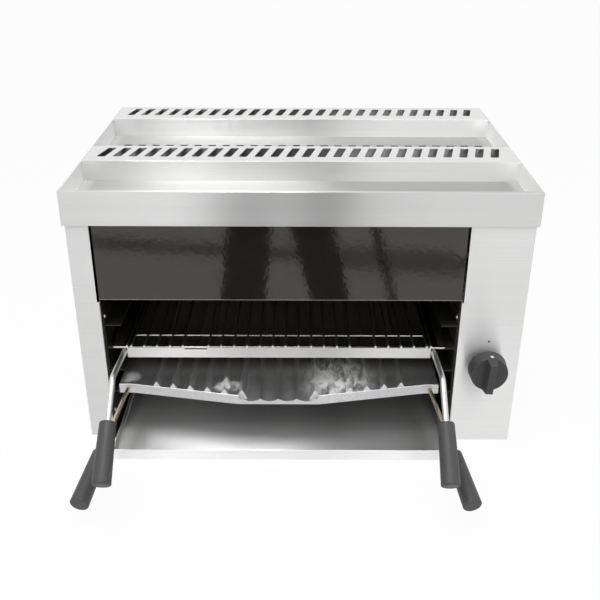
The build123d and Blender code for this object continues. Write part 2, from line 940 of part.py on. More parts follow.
with BuildPart() as gas_inlet:
    with BuildSketch(Plane.XZ.offset(-inlet_start)):
        with Locations((supply_x, supply_height)):
            Circle(inlet_collar_radius)
    extrude(amount=-inlet_collar_length)
    with BuildSketch(Plane.XZ.offset(-rear_flange_y)):
        with Locations((supply_x, supply_height)):
            Circle(bulkhead_radius)
    extrude(amount=-bulkhead_length)
    with BuildSketch(Plane.XZ.offset(-rear_flange_y - bulkhead_length)):
        with Locations((supply_x, supply_height)):
            Circle(inlet_radius)
    extrude(amount=-inlet_length)
    chamfer(gas_inlet.edges().sort_by(Axis.Y)[-1], inlet_lead_in)
save(gas_inlet, "gas_inlet")

with BuildPart() as inlet_locknut:
    with BuildSketch(Plane.XZ.offset(-case_rear)):
        with Locations((supply_x, supply_height)):
            RegularPolygon(locknut_flats / 2, 6, major_radius=False)
            Circle(bulkhead_radius + weld_gap, mode=Mode.SUBTRACT)
    extrude(amount=-locknut_thickness)
save(inlet_locknut, "inlet_locknut")

# Thermocouple: the probe below the burner and its lead to the tap
probe_back = opening_right + probe_nut_thickness
with BuildPart() as thermocouple:
    with Locations(Pos(probe_back, probe_y, probe_z) * Rot(0, 90, 0)):
        Cylinder(probe_radius, probe_length, align=(Align.CENTER, Align.CENTER, Align.MAX))
        Cylinder(
            probe_collar_radius, probe_collar_length, align=(Align.CENTER, Align.CENTER, Align.MIN)
        )
    lead_start = probe_back + probe_collar_length
    bent_wire(
        [
            (lead_start, probe_y, probe_z),
            (knob_x, probe_y, probe_z),
            (knob_x, probe_y, knob_z),
            (knob_x, tap_tail_end, knob_z),
        ],
        probe_bend,
        probe_lead_radius,
    )
save(thermocouple, "thermocouple")

with BuildPart() as thermocouple_nut:
    with BuildSketch(Plane.YZ.offset(opening_right)):
        with Locations((probe_y, probe_z)):
            RegularPolygon(probe_nut_flats / 2, 6, major_radius=False)
            Circle(probe_radius + weld_gap, mode=Mode.SUBTRACT)
    extrude(amount=probe_nut_thickness)
save(thermocouple_nut, "thermocouple_nut")

# Knob on its spindle, with the thrust plunger behind it
knob_back = case_front - knob_gap
knob_face = knob_back - knob_thickness
spindle_start = knob_back - knob_bore_depth

with BuildPart() as knob:
    with BuildSketch(Plane.XZ.offset(knob_neck - knob_back)):
        with Locations((knob_x, knob_z)):
            Circle(knob_base_radius)
    with BuildSketch(Plane.XZ.offset(-knob_face)):
        with Locations((knob_x, knob_z)):
            Circle(knob_face_radius)
    loft()
    fillet(knob.edges().group_by(Axis.Y)[0], knob_edge)
    with BuildSketch(Plane.XZ.offset(-knob_face)):
        with Locations((knob_x, knob_z)):
            Rectangle(knob_bar_width, 2 * (knob_face_radius - knob_edge), rotation=knob_bar_turn)
    extrude(amount=knob_bar_height, taper=knob_bar_taper)
    fillet(knob.faces().sort_by(Axis.Y)[0].edges(), knob_edge)
    with BuildSketch(Plane.XZ.offset(-knob_back)):
        with Locations((knob_x, knob_z)):
            Circle(knob_neck_radius)
    extrude(amount=knob_neck)
    with BuildSketch(Plane.XZ.offset(-knob_back)):
        with Locations((knob_x, knob_z)):
            Circle(spindle_radius + weld_gap)
    extrude(amount=knob_bore_depth, mode=Mode.SUBTRACT)
save(knob, "knob")

with BuildPart() as tap_spindle:
    with BuildSketch(Plane.XZ.offset(-spindle_start)):
        with Locations((knob_x, knob_z)):
            Circle(spindle_radius)
    extrude(amount=-(spindle_end - spindle_start))
save(tap_spindle, "tap_spindle")

with BuildPart() as tap_plunger:
    with BuildSketch(Plane.XZ.offset(-spindle_end)):
        with Locations((knob_x, knob_z)):
            Circle(spindle_radius)
    extrude(amount=-plunger_length)
save(tap_plunger, "tap_plunger")

# Toasting rack, resting on its runner level
rack_seat = runner_top - runner_pitch + slide_gap
frame_z = rack_seat + frame_wire / 2
rack_top = rack_seat + frame_wire
bar_back = case_front + bar_sheet
frame_front = bar_back + frame_wire / 2
frame_rear = case_front + rack_depth - frame_wire / 2
frame_half = (rack_width - frame_wire) / 2
bar_length = rack_width - 2 * bar_inset
stop_width = rack_width - 2 * stop_inset
rod_pitch = 2 * (frame_half - rod_margin) / (2 * rod_pairs - 1)
gap_pair = rod_pairs - 1 - outer_rod_count

with BuildPart() as rack_frame:
    bent_wire(
        [
            (rack_centre - frame_half, frame_front, frame_z),
            (rack_centre + frame_half, frame_front, frame_z),
            (rack_centre + frame_half, frame_rear, frame_z),
            (rack_centre - frame_half, frame_rear, frame_z),
        ],
        frame_corner,
        frame_wire / 2,
        close=True,
    )
save(rack_frame, "rack_frame")

rod_offsets = [(pair + 0.5) * rod_pitch for pair in range(rod_pairs) if pair != gap_pair]
rod_offsets.append(bar_length / 2)
with BuildPart() as rack_rods:
    with BuildSketch(Plane.XZ.offset(-case_front)):
        rod_z = rack_top + rod_wire / 2
        with Locations(*[(rack_centre + side * x, rod_z) for side in (-1, 1) for x in rod_offsets]):
            Circle(rod_wire / 2)
    extrude(amount=-rack_depth)
save(rack_rods, "rack_rods")

with BuildPart() as rack_cross_wires:
    cross_first = frame_front + cross_setback
    cross_step = (frame_rear - cross_first) / cross_wire_count
    with BuildSketch(Plane.YZ.offset(rack_centre)):
        for i in range(cross_wire_count):
            with Locations((cross_first + i * cross_step, rack_top - cross_wire / 2)):
                Circle(cross_wire / 2)
    extrude(amount=frame_half - frame_wire / 2 - weld_gap, both=True)
save(rack_cross_wires, "rack_cross_wires")

with BuildPart() as rack_stop_wire:
    stop_z = rack_top - stop_wire / 2
    leg_start = frame_front + frame_wire / 2 + weld_gap
    stop_y = frame_front + stop_setback
    stop_half = stop_width / 2
    bent_wire(
        [
            (rack_centre - stop_half, leg_start, stop_z),
            (rack_centre - stop_half, stop_y, stop_z),
            (rack_centre + stop_half, stop_y, stop_z),
            (rack_centre + stop_half, leg_start, stop_z),
        ],
        stop_corner,
        stop_wire / 2,
    )
save(rack_stop_wire, "rack_stop_wire")

with BuildPart() as rack_front_bar:
    slab(
        (rack_centre - bar_length / 2, rack_centre + bar_length / 2),
        (case_front, bar_back),
        (rack_top - bar_height, rack_top),
    )
    notch_x = rack_centre - (gap_pair + 0.5) * rod_pitch
    slab(
        (notch_x - bar_notch_length / 2, notch_x + bar_notch_length / 2),
        (case_front, bar_back),
        (rack_top - bar_notch_depth, rack_top),
        Mode.SUBTRACT,
    )
    fillet(rack_front_bar.edges().filter_by(Axis.Y), bar_sheet / 2)
save(rack_front_bar, "rack_front_bar")


def grip_on(tip, direction, rod_radius):
    """A tapered grip whose front end is centred on tip and whose axis runs along direction."""
    with BuildSketch(Plane.XZ) as half:
        Polygon(
            (0, 0),
            (grip_front_radius, 0),
            (grip_back_radius, grip_length),
            (0, grip_length),
            align=None,
        )
        fillet(half.vertices().group_by(Axis.X)[-1] + half.vertices().group_by(Axis.X)[-2], grip_edge)
        with BuildSketch(Plane.XZ, mode=Mode.PRIVATE) as bore:
            Polygon(
                (0, grip_length - grip_bore_depth),
                (rod_radius + weld_gap, grip_length - grip_bore_depth),
                (rod_radius + weld_gap, grip_length),
                (0, grip_length),
                align=None,
            )
        add(bore.sketch, mode=Mode.SUBTRACT)
    turned = revolve(half.sketch, axis=Axis.Z, mode=Mode.PRIVATE)
    add(Plane(tip, z_dir=-direction).location * turned)


# Rack handles: rods welded under the frame, cranked up and then down to the grips
handle_x = bar_length / 2 + rack_rod / 2 + weld_gap
handle_z = rack_seat - rack_rod / 2 - weld_gap
bend_y = case_front - rack_handle_reach
bend_z = handle_z + rack_handle_rise
drop_y = -cos(radians(rack_handle_drop))
drop_z = -sin(radians(rack_handle_drop))
rod_stop = rack_handle_run - grip_length + grip_bore_depth

for side, hand in ((-1, "left"), (1, "right")):
    rod_x = rack_centre + side * handle_x
    with BuildPart() as rack_handle:
        bent_wire(
            [
                (rod_x, case_front + rack_rod_tail, handle_z),
                (rod_x, case_front, handle_z),
                (rod_x, bend_y, bend_z),
                (rod_x, bend_y + drop_y * rod_stop, bend_z + drop_z * rod_stop),
            ],
            [rack_root_bend, rack_bend],
            rack_rod / 2,
        )
    save(rack_handle, f"rack_handle_{hand}")

    with BuildPart() as rack_grip:
        tip = Vector(rod_x, bend_y + drop_y * rack_handle_run, bend_z + drop_z * rack_handle_run)
        grip_on(tip, Vector(0, drop_y, drop_z), rack_rod / 2)
    save(rack_grip, f"rack_grip_{hand}")

# Brander plate: a cast slab, bowed at the front, with sharp ridges and a spout
plate_bottom = runner_first + slide_gap
plate_top = plate_bottom + plate_thickness
plate_front = case_front
plate_rear = case_front + plate_depth
groove_pitch = (plate_width - 2 * groove_margin) / groove_count


def bowed_outline(setback, rear):
    """The plate's plan with its front edge moved back by setback."""
    half = plate_width / 2
    shoulder = half - plate_corner_flat
    spout = plate_spout_flat / 2
    front = plate_front + setback
    tip_y = front - plate_bow
    with BuildLine() as outline:
        Polyline(
            (-shoulder, front),
            (-half, front),
            (-half, rear),
            (half, rear),
            (half, front),
            (shoulder, front),
        )
        FilletPolyline(
            (shoulder, front),
            (spout, tip_y),
            (-spout, tip_y),
            (-shoulder, front),
            radius=plate_bow_radius,
        )
    make_face(outline.edges())


spout_half = spout_pitch * spout_grooves / 2
side_ridges = [spout_half + i * groove_pitch for i in range((groove_count - spout_grooves) // 2)]
spout_ridges = [i * spout_pitch for i in range(spout_grooves // 2)]
ridge_places = sorted({plate_centre + side * x for side in (-1, 1) for x in side_ridges + spout_ridges})
ridge_foot = plate_top - ridge_root
spout_front = plate_front - plate_bow

with BuildPart() as plate_ridges:
    with BuildSketch(Plane.XZ.offset(-spout_front)):
        with Locations(*[(x, ridge_foot) for x in ridge_places]):
            Polygon(
                (-ridge_base / 2, 0),
                (ridge_base / 2, 0),
                (0, ridge_root + ridge_height),
                align=None,
            )
    extrude(amount=-(plate_depth + plate_bow))
    with BuildSketch(Plane((plate_centre, 0, ridge_foot))):
        bowed_outline(ridge_setback, plate_rear - ridge_rear_margin)
    extrude(amount=2 * ridge_root + ridge_height, mode=Mode.INTERSECT)

recess_half = spout_half + recess_margin
spout_low = plate_top - spout_drop
spout_wall = ridge_height + spout_drop
spout_radius = ((spout_pitch / 2) ** 2 + spout_cusp**2) / (2 * spout_cusp)
spout_fall = Vector(0, -spout_run, -spout_drop)
spout_plane = Plane((plate_centre, spout_front, spout_low), x_dir=(1, 0, 0), z_dir=spout_fall)


def spout_foot(rise):
    """Where the spout's outer groove on the left has climbed by rise."""
    return (-spout_half + spout_pitch / 2 - (rise * (2 * spout_radius - rise)) ** 0.5, rise)


def spout_face(wall):
    """The spout's scalloped floor, closed by a wall on each side and open at the top."""
    with BuildLine() as edge:
        Polyline(*wall, *[(-x, y) for x, y in reversed(wall)])
        for i in range(spout_grooves):
            left = -spout_half + i * spout_pitch
            right = left + spout_pitch
            start = wall[0] if i == 0 else (left, spout_cusp)
            end = (-wall[0][0], wall[0][1]) if i == spout_grooves - 1 else (right, spout_cusp)
            ThreePointArc(start, ((left + right) / 2, 0), end)
    make_face(edge.edges())


# The floor falls along the grooves, and at the edge it runs out past the outer ridges
with BuildPart() as spout_cutter:
    with BuildSketch(spout_plane):
        spout_face([spout_foot(flank_rise), (-spout_half, spout_wall), (-spout_half, spout_half)])
    extrude(amount=2 * spout_run, both=True)
    with BuildSketch(spout_plane):
        spout_face(
            [
                spout_foot(recess_rise),
                (-recess_half + recess_corner, recess_rise),
                (-recess_half, recess_rise + recess_corner),
                (-recess_half, spout_half),
            ]
        )
    extrude(amount=recess_depth, both=True)

handle_dir = Vector(plate_handle_splay, -plate_handle_reach, -plate_handle_fall)
handle_mid = (plate_bottom + plate_top) / 2
socket_x = plate_width / 2 - plate_handle_inset

with BuildPart() as brander_plate:
    with BuildSketch(Plane((plate_centre, 0, plate_bottom))):
        bowed_outline(0, plate_rear)
    extrude(amount=plate_thickness)
    fillet(brander_plate.faces().sort_by(Axis.Z)[-1].edges(), plate_edge)
    pocket_half = plate_width / 2 - plate_rim
    slab(
        (plate_centre - pocket_half, plate_centre + pocket_half),
        (plate_front + plate_pocket_front, plate_rear - plate_rim),
        (plate_bottom, plate_top - plate_skin),
        Mode.SUBTRACT,
    )
    add(plate_ridges.part)
    add(spout_cutter.part, mode=Mode.SUBTRACT)
    for side in (-1, 1):
        way = Vector(side * handle_dir.X, handle_dir.Y, handle_dir.Z)
        root = Vector(plate_centre + side * socket_x, plate_front, handle_mid)
        with Locations(Plane(root, z_dir=way).location):
            Cylinder(plate_rod / 2 + weld_gap, 2 * plate_rod_socket, mode=Mode.SUBTRACT)
save(brander_plate, "brander_plate")

# Plate handles: straight rods let into the front edge of the casting
for side, hand in ((-1, "left"), (1, "right")):
    way = Vector(side * handle_dir.X, handle_dir.Y, handle_dir.Z)
    rod_run = way.length - grip_length + grip_bore_depth
    root = Vector(plate_centre + side * socket_x, plate_front, handle_mid)
    with BuildPart() as plate_handle:
        with Locations(Plane(root - way.normalized() * plate_rod_socket, z_dir=way).location):
            Cylinder(
                plate_rod / 2,
                rod_run + plate_rod_socket,
                align=(Align.CENTER, Align.CENTER, Align.MIN),
            )
    save(plate_handle, f"plate_handle_{hand}")

    with BuildPart() as plate_grip:
        grip_on(root + way, way.normalized(), plate_rod / 2)
    save(plate_grip, f"plate_grip_{hand}")

# Drip tray: a shallow pan that stands out in front to catch the spout
with BuildPart() as drip_tray:
    tray_bottom = case_sheet + slide_gap
    tray_front = case_front - tray_projection
    tray_half = tray_width / 2
    slab(
        side_mirror(1, (-tray_half, tray_half)),
        (tray_front, tray_front + tray_length),
        (tray_bottom, tray_bottom + tray_wall),
    )
    slab(
        side_mirror(1, (-tray_half + tray_sheet, tray_half - tray_sheet)),
        (tray_front + tray_sheet, tray_front + tray_length - tray_sheet),
        (tray_bottom + tray_sheet, tray_bottom + tray_wall),
        Mode.SUBTRACT,
    )
save(drip_tray, "drip_tray")
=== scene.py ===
# %% [markdown]
# # A salamander grill, dressed around its CAD frame
#
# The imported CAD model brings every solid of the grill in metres, already in
# place. Nothing here moves a solid. This lesson gives each piece its finish,
# rounds the sheet edges that catch the light, adds two painted dots, and sets up
# a plain studio.

# %% Load the frame
import json
from collections import namedtuple
from math import radians

import bmesh
import bpy
from mathutils import Matrix, Vector

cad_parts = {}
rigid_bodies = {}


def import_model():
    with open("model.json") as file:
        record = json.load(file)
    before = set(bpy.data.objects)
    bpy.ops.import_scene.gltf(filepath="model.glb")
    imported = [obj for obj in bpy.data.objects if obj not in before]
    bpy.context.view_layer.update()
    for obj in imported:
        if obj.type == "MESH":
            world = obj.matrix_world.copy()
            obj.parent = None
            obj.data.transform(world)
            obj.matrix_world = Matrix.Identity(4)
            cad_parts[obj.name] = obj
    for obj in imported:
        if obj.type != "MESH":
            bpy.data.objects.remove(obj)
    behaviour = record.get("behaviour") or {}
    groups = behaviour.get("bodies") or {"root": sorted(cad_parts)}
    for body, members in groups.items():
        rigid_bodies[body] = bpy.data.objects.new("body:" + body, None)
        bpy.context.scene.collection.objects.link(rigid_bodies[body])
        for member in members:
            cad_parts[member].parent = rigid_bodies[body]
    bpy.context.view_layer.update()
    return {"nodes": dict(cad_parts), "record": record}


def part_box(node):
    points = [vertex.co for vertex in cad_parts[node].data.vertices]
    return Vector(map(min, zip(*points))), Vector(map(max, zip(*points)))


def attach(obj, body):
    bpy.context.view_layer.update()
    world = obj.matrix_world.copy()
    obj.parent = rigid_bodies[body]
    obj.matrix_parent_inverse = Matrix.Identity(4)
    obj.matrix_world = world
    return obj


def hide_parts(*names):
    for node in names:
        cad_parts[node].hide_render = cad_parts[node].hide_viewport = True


for leftover in list(bpy.data.objects):
    bpy.data.objects.remove(leftover)
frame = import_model()
nodes = frame["nodes"]

# %% [markdown]
# ## The camera
#
# The grill is seen from the front and from a little above, so the hood's top and
# the inside of the tray both show. A camera can be aimed by a constraint, but a
# plain matrix is exact and repeatable: first the place, then a slight yaw, then
# the pitch down, and last the small roll about the lens.

# %% Place the camera
camera_place = Vector((-0.001415, -1.22853, 0.74657))
camera_pitch, camera_yaw, camera_roll = 26.816, 0.040, 0.195

lens = bpy.data.cameras.new("studio_camera")
lens.sensor_width = 36.0
lens.lens = 50.34
camera = bpy.data.objects.new("studio_camera", lens)
camera.matrix_world = (
    Matrix.Translation(camera_place)
    @ Matrix.Rotation(radians(-camera_yaw), 4, "Z")
    @ Matrix.Rotation(radians(90 - camera_pitch), 4, "X")
    @ Matrix.Rotation(radians(camera_roll), 4, "Z")
)
bpy.context.scene.collection.objects.link(camera)
bpy.context.scene.camera = camera
bpy.context.scene.view_settings.view_transform = "Standard"
print("camera at", tuple(camera_place), "lens", lens.lens, "mm")

# %% [markdown]
# ## Building node materials
#
# Every finish below is a small node tree. Nodes can be placed by hand in the
# editor, but code is easier to read and to run again. These helpers add a node
# with its sockets filled in by name, join two sockets, and start a material.
# Values that are the same all over a surface go straight on the shader's socket.

# %% Helpers for nodes and materials
def add(tree, kind, settings=None, **sockets):
    """A new node, with its settings and its input sockets filled in."""
    made = tree.nodes.new(kind)
    for key, value in (settings or {}).items():
        setattr(made, key, value)
    for key, value in sockets.items():
        made.inputs[key.replace("_", " ")].default_value = value
    return made


def join(tree, source, target):
    tree.links.new(source, target)


def grey(level):
    """A linear grey."""
    return (level, level, level)


def finish(name, colour, metallic, roughness, **sockets):
    """A material with a Principled shader, ready for its patterns."""
    material = bpy.data.materials.new(name)
    material.use_nodes = True
    shader = material.node_tree.nodes["Principled BSDF"]
    shader.inputs["Base Color"].default_value = (*colour, 1.0)
    shader.inputs["Metallic"].default_value = metallic
    shader.inputs["Roughness"].default_value = roughness
    for key, value in sockets.items():
        shader.inputs[key.replace("_", " ")].default_value = value
    return material, material.node_tree, shader


print("node helpers ready")

# %% [markdown]
# ## Patterns on a surface
#
# Metal, enamel and plastic differ a little from place to place. Noise on the
# object's own coordinates shows that with no image and no unwrapping, and it
# stays put when a piece moves. Stretched coordinates turn grains into streaks.

# %% Helpers for patterns
def spread(tree, stretch, turn=(0, 0, 0), shift=(0, 0, 0)):
    """Object coordinates, stretched so that a noise becomes streaks or grains."""
    place = add(tree, "ShaderNodeTexCoord")
    mapping = add(tree, "ShaderNodeMapping", Scale=stretch, Rotation=turn, Location=shift)
    join(tree, place.outputs["Object"], mapping.inputs["Vector"])
    return mapping.outputs["Vector"]


def place_along(tree, axis, turn=(0, 0, 0), shift=(0, 0, 0)):
    """How far along X, Y or Z a point lies, in metres."""
    apart = add(tree, "ShaderNodeSeparateXYZ")
    join(tree, spread(tree, (1, 1, 1), turn, shift), apart.inputs[0])
    return apart.outputs[axis]


def grain(tree, stretch, detail=4.0, rough=0.55, shift=(0, 0, 0)):
    """A noise between 0 and 1 over stretched object coordinates."""
    noise = add(tree, "ShaderNodeTexNoise", Scale=1.0, Detail=detail, Roughness=rough)
    join(tree, spread(tree, stretch, shift=shift), noise.inputs["Vector"])
    return noise.outputs[0]


print("pattern helpers ready")

# %% [markdown]
# ## From a pattern to a colour
#
# A noise is only a number from 0 to 1. The next helpers take it to another range,
# work out a sum, turn it into a colour, mix two colours, and press it into the
# surface as fine relief.

# %% Helpers for values and colours
def feed(tree, value, socket):
    """Gives a socket a number, a linear colour or what another node puts out."""
    if isinstance(value, (int, float)):
        socket.default_value = value
    elif isinstance(value, tuple):
        socket.default_value = (*value, 1.0)
    else:
        join(tree, value, socket)


def between(tree, value, low, high, to_low, to_high, smooth=False):
    """A value taken from one range to another, clamped at both ends."""
    kind = "SMOOTHSTEP" if smooth else "LINEAR"
    ranged = add(tree, "ShaderNodeMapRange", {"interpolation_type": kind, "clamp": True})
    for socket, part in zip(ranged.inputs, (value, low, high, to_low, to_high)):
        feed(tree, part, socket)
    return ranged.outputs[0]


def figured(tree, operation, *values, clamp=False):
    """A sum that a Math node works out."""
    working = add(tree, "ShaderNodeMath", {"operation": operation, "use_clamp": clamp})
    for socket, value in zip(working.inputs, values):
        feed(tree, value, socket)
    return working.outputs[0]


def tones(tree, value, *stops):
    """A colour ramp: each stop is a place from 0 to 1 and a linear colour."""
    node = add(tree, "ShaderNodeValToRGB")
    elements = node.color_ramp.elements
    while len(elements) < len(stops):
        elements.new(0.5)
    for element, (place, colour) in zip(elements, stops):
        element.position = place
        element.color = (*colour, 1.0)
    join(tree, value, node.inputs[0])
    return node.outputs[0]


def mixed(tree, amount, first, second, blend="MIX"):
    """Two colours mixed by an amount; each is a socket or a linear colour."""
    mix = add(tree, "ShaderNodeMix", {"data_type": "RGBA", "blend_type": blend})
    for socket, value in zip((mix.inputs[0], mix.inputs[6], mix.inputs[7]), (amount, first, second)):
        feed(tree, value, socket)
    return mix.outputs[2]


def relief(tree, shader, height, depth, strength=1.0):
    """Fine relief on a surface: a height from 0 to 1 and its depth in metres."""
    bump = add(tree, "ShaderNodeBump", Strength=strength, Distance=depth)
    join(tree, height, bump.inputs["Height"])
    join(tree, bump.outputs[0], shader.inputs["Normal"])


print("value and colour helpers ready")

# %% [markdown]
# ## The floor
#
# The grill stands on a pale floor. The paper glows white to the camera and to
# reflections, so that steel mirrors a white room, and a small share of it stays
# plain paper, which keeps a soft shadow of the grill. More light on the whole
# scene would make the floor as white, and would bleach the grill too.

# %% Lay the floor
floor_mesh = bpy.data.meshes.new("studio_floor")
floor_build = bmesh.new()
bmesh.ops.create_grid(floor_build, x_segments=2, y_segments=2, size=6.0)
floor_build.to_mesh(floor_mesh)
floor_build.free()
floor = bpy.data.objects.new("studio_floor", floor_mesh)
bpy.context.scene.collection.objects.link(floor)


def seen_directly(tree):
    """1 for rays from the camera, from gloss and through glass, otherwise 0."""
    path = add(tree, "ShaderNodeLightPath")
    total = path.outputs["Is Camera Ray"]
    for name in ("Is Glossy Ray", "Is Transmission Ray"):
        total = figured(tree, "MAXIMUM", total, path.outputs[name])
    return total


def either(tree, amount, first, second):
    """One shader or the other, by an amount from 0 to 1."""
    choice = add(tree, "ShaderNodeMixShader")
    for socket, source in zip(choice.inputs, (amount, first, second)):
        join(tree, source, socket)
    return choice.outputs[0]


floor_glow = 0.955
paper, tree, shader = finish("pale_floor", grey(0.86), 0.0, 0.9)
cloud = grain(tree, (3, 3, 3), 2.0)
join(tree, tones(tree, cloud, (0.3, grey(0.84)), (0.7, grey(0.88))), shader.inputs["Base Color"])
bright = add(tree, "ShaderNodeEmission", Strength=1.0)
share = figured(tree, "MULTIPLY", seen_directly(tree), floor_glow)
join(tree, either(tree, share, shader.outputs[0], bright.outputs[0]),
     tree.nodes["Material Output"].inputs["Surface"])
floor_mesh.materials.append(paper)
print("floor glow", floor_glow)

# %% [markdown]
# ## The world
#
# The world is also white to the camera and to reflections. For lighting it is
# much dimmer, so that the lamps shape the grill and the chamber stays dark.

# %% Set the world
fill_level = 0.42
world = bpy.data.worlds.new("studio_world")
bpy.context.scene.world = world
world.use_nodes = True
tree = world.node_tree
fill = tree.nodes["Background"]
fill.inputs["Color"].default_value = (1, 1, 1, 1)
fill.inputs["Strength"].default_value = fill_level
white = add(tree, "ShaderNodeBackground", Color=(1, 1, 1, 1), Strength=1.0)
join(tree, either(tree, seen_directly(tree), fill.outputs[0], white.outputs[0]),
     tree.nodes["World Output"].inputs["Surface"])
print("world fill", fill_level)

# %% [markdown]
# ## Lamps
#
# One wide soft lamp hangs above and a little in front, and a weaker one fills
# from the right. Wide area lamps give the soft shadows of a studio. Gloss doesn't
# see them: what the steel and the enamel mirror is set by cards instead.

# %% Hang the lamps
def soft_lamp(name, place, target, size, watts):
    lamp = bpy.data.lights.new(name, "AREA")
    lamp.shape = "RECTANGLE"
    lamp.size, lamp.size_y = size
    lamp.energy = watts
    holder = bpy.data.objects.new(name, lamp)
    aim = (Vector(target) - Vector(place)).to_track_quat("-Z", "Y")
    holder.matrix_world = Matrix.Translation(Vector(place)) @ aim.to_matrix().to_4x4()
    bpy.context.scene.collection.objects.link(holder)
    holder.visible_glossy = False


soft_lamp("overhead_lamp", place=(-0.25, -0.55, 1.75), target=(0, -0.05, 0.2),
          size=(1.1, 0.7), watts=17.0)
soft_lamp("right_fill_lamp", place=(1.5, -1.0, 1.1), target=(0, 0, 0.2),
          size=(0.8, 0.8), watts=4.0)

# %% [markdown]
# ## Dark flags for the enamel
#
# Enamel shows what lies in front of the grill. In a studio, dark flags give such
# a gloss its deep bands. Real ones would also take light away, so these are flat
# cards that only reflections see. They lie on the floor, in front of the enamel.

# %% Lay the flags
def card(name, corners, material):
    """A flat four-sided card, given by its corners. Only gloss sees it."""
    build = bmesh.new()
    build.faces.new([build.verts.new(corner) for corner in corners])
    mesh = bpy.data.meshes.new(name)
    build.to_mesh(mesh)
    build.free()
    mesh.materials.append(material)
    made = bpy.data.objects.new(name, mesh)
    bpy.context.scene.collection.objects.link(made)
    made.visible_camera = made.visible_diffuse = made.visible_shadow = False
    made.visible_transmission = False
    print("card:", name)


def lying_card(name, height, corners, material):
    """A card that lies flat at a height, its corners given along X and Y."""
    card(name, [(x, y, height) for x, y in corners], material)


flag_cloth, tree, shader = finish("flag_cloth", grey(0.02), 0.0, 0.9)
join(tree, tones(tree, grain(tree, (40, 40, 40)), (0.3, grey(0.015)), (0.7, grey(0.03))),
     shader.inputs["Base Color"])
flag_height = 0.002
flag_corners = {
    "flag_left": [(-0.151, -0.55), (-0.067, -0.55), (-0.069, -1.35), (-0.19, -1.35)],
    "flag_middle": [(0.036, -0.55), (0.102, -0.55), (0.081, -1.05), (-0.027, -1.05)],
    "flag_middle_far": [(-0.027, -1.05), (0.081, -1.05), (0.12, -1.35), (-0.01, -1.35)],
    "flag_right": [(0.176, -0.55), (0.191, -0.55), (0.188, -1.1), (0.166, -1.1)],
}
for name, corners in flag_corners.items():
    lying_card(name, flag_height, corners, flag_cloth)

# %% [markdown]
# ## A grey screen and shaded strips
#
# A grey screen stands further out, and dims the middle of what the front mirrors.
# Two strips of pale paper on the floor carry a soft dark line, turned a little
# about Z, which crosses the enamel as a faint band. Their tone comes from plain
# light, because cards that the lamps had to light would change with each lamp.

# %% Stand the screen and lay the strips
def glow(tree, level):
    """Ends a finish in plain light of a level that nodes give."""
    shine = add(tree, "ShaderNodeEmission", Color=(1, 1, 1, 1))
    join(tree, level, shine.inputs["Strength"])
    join(tree, shine.outputs[0], tree.nodes["Material Output"].inputs["Surface"])


def wide_card(name, sides, low_edge, high_edge, material):
    """A card between two places along X. Each edge is given along Y and Z."""
    left, right = sides
    card(name, [(left, *low_edge), (right, *low_edge), (right, *high_edge), (left, *high_edge)],
         material)


screen_level, screen_drift = 0.22, 0.02
screen, tree, shader = finish("grey_screen", grey(0), 0.0, 1.0)
glow(tree, between(tree, grain(tree, (2, 2, 2)), 0.3, 0.7,
                   screen_level - screen_drift, screen_level + screen_drift))
wide_card("flag_standing", sides=(-0.29, 0.17), low_edge=(-1.45, 0.0), high_edge=(-1.45, 1.9),
          material=screen)

strip_turn, strip_distance, paper_level = -0.1387, 0.877, 0.95


def shaded_strip(name, half_dark, half_width, level):
    """Pale paper with a soft dark line along its middle, turned a little about Z."""
    material, tree, shader = finish(name, grey(0), 0.0, 1.0)
    across = place_along(tree, "Y", (0, 0, strip_turn), (0, strip_distance, 0))
    away = figured(tree, "ABSOLUTE", across)
    glow(tree, between(tree, away, half_dark, half_width, level, paper_level, True))
    return material


strip = shaded_strip("shaded_strip", half_dark=0.012, half_width=0.05, level=0.34)
lying_card("flag_strip", height=0.001, material=strip,
           corners=[(-0.7, -1.05), (0.55, -0.88), (0.55, -0.74), (-0.7, -0.91)])
wide_strip = shaded_strip("wide_shaded_strip", half_dark=0.025, half_width=0.095, level=0.42)
lying_card("flag_wide_strip", height=0.0015, material=wide_strip,
           corners=[(0.085, -0.965), (0.34, -0.93), (0.34, -0.73), (0.085, -0.765)])

# %% [markdown]
# ## A softbox and a lit wall
#
# Brushed steel looks bright where it mirrors a lamp. A glowing card hangs above
# the grill for the deck and the rails, and a wide one stands behind the camera
# for the fronts. Both fade out at their sides, so their reflections end softly.

# %% Hang the softbox and stand the wall
def lit_card(name, strength, left, right):
    """A glowing finish that fades out between two places along X at each side."""
    material, tree, shader = finish(name, grey(0), 0.0, 1.0)
    across = place_along(tree, "X")
    glow(tree, figured(tree, "MULTIPLY", between(tree, across, *left, 0.0, strength, True),
                       between(tree, across, *right, 1.0, 0.0, True)))
    return material


softbox_front = lit_card("softbox_front", strength=10.0, left=(-0.53, -0.45), right=(0.01, 0.08))
wide_card("softbox", sides=(-0.6, 0.1), low_edge=(-1.0, 1.75), high_edge=(-0.2, 1.75),
          material=softbox_front)
lit_wall = lit_card("lit_wall", strength=2.3, left=(-2.4, -1.8), right=(1.8, 2.4))
wide_card("softbox_wall", sides=(-2.5, 2.5), low_edge=(-2.1, 0.75), high_edge=(-1.9, 2.6),
          material=lit_wall)

# %% [markdown]
# ## Brushed stainless sheet
#
# The case is stainless sheet with a fine belt-ground finish. The lines scatter
# light across themselves, so a reflection smears at right angles to them. An
# image of scratches could show the lines, but not the smear. Here the shader's
# anisotropy makes the smear, with a tangent that turns about the grain's axis,
# and stretched noise makes the lines, the slight change of tone and the gloss.
# Where light or a reflection falls on a sheet in places, its tone can be painted lighter or darker
# between two places along an axis: painted light and shade.

# %% Helper for brushed finishes
PaintedLight = namedtuple("PaintedLight", "axis start end share")


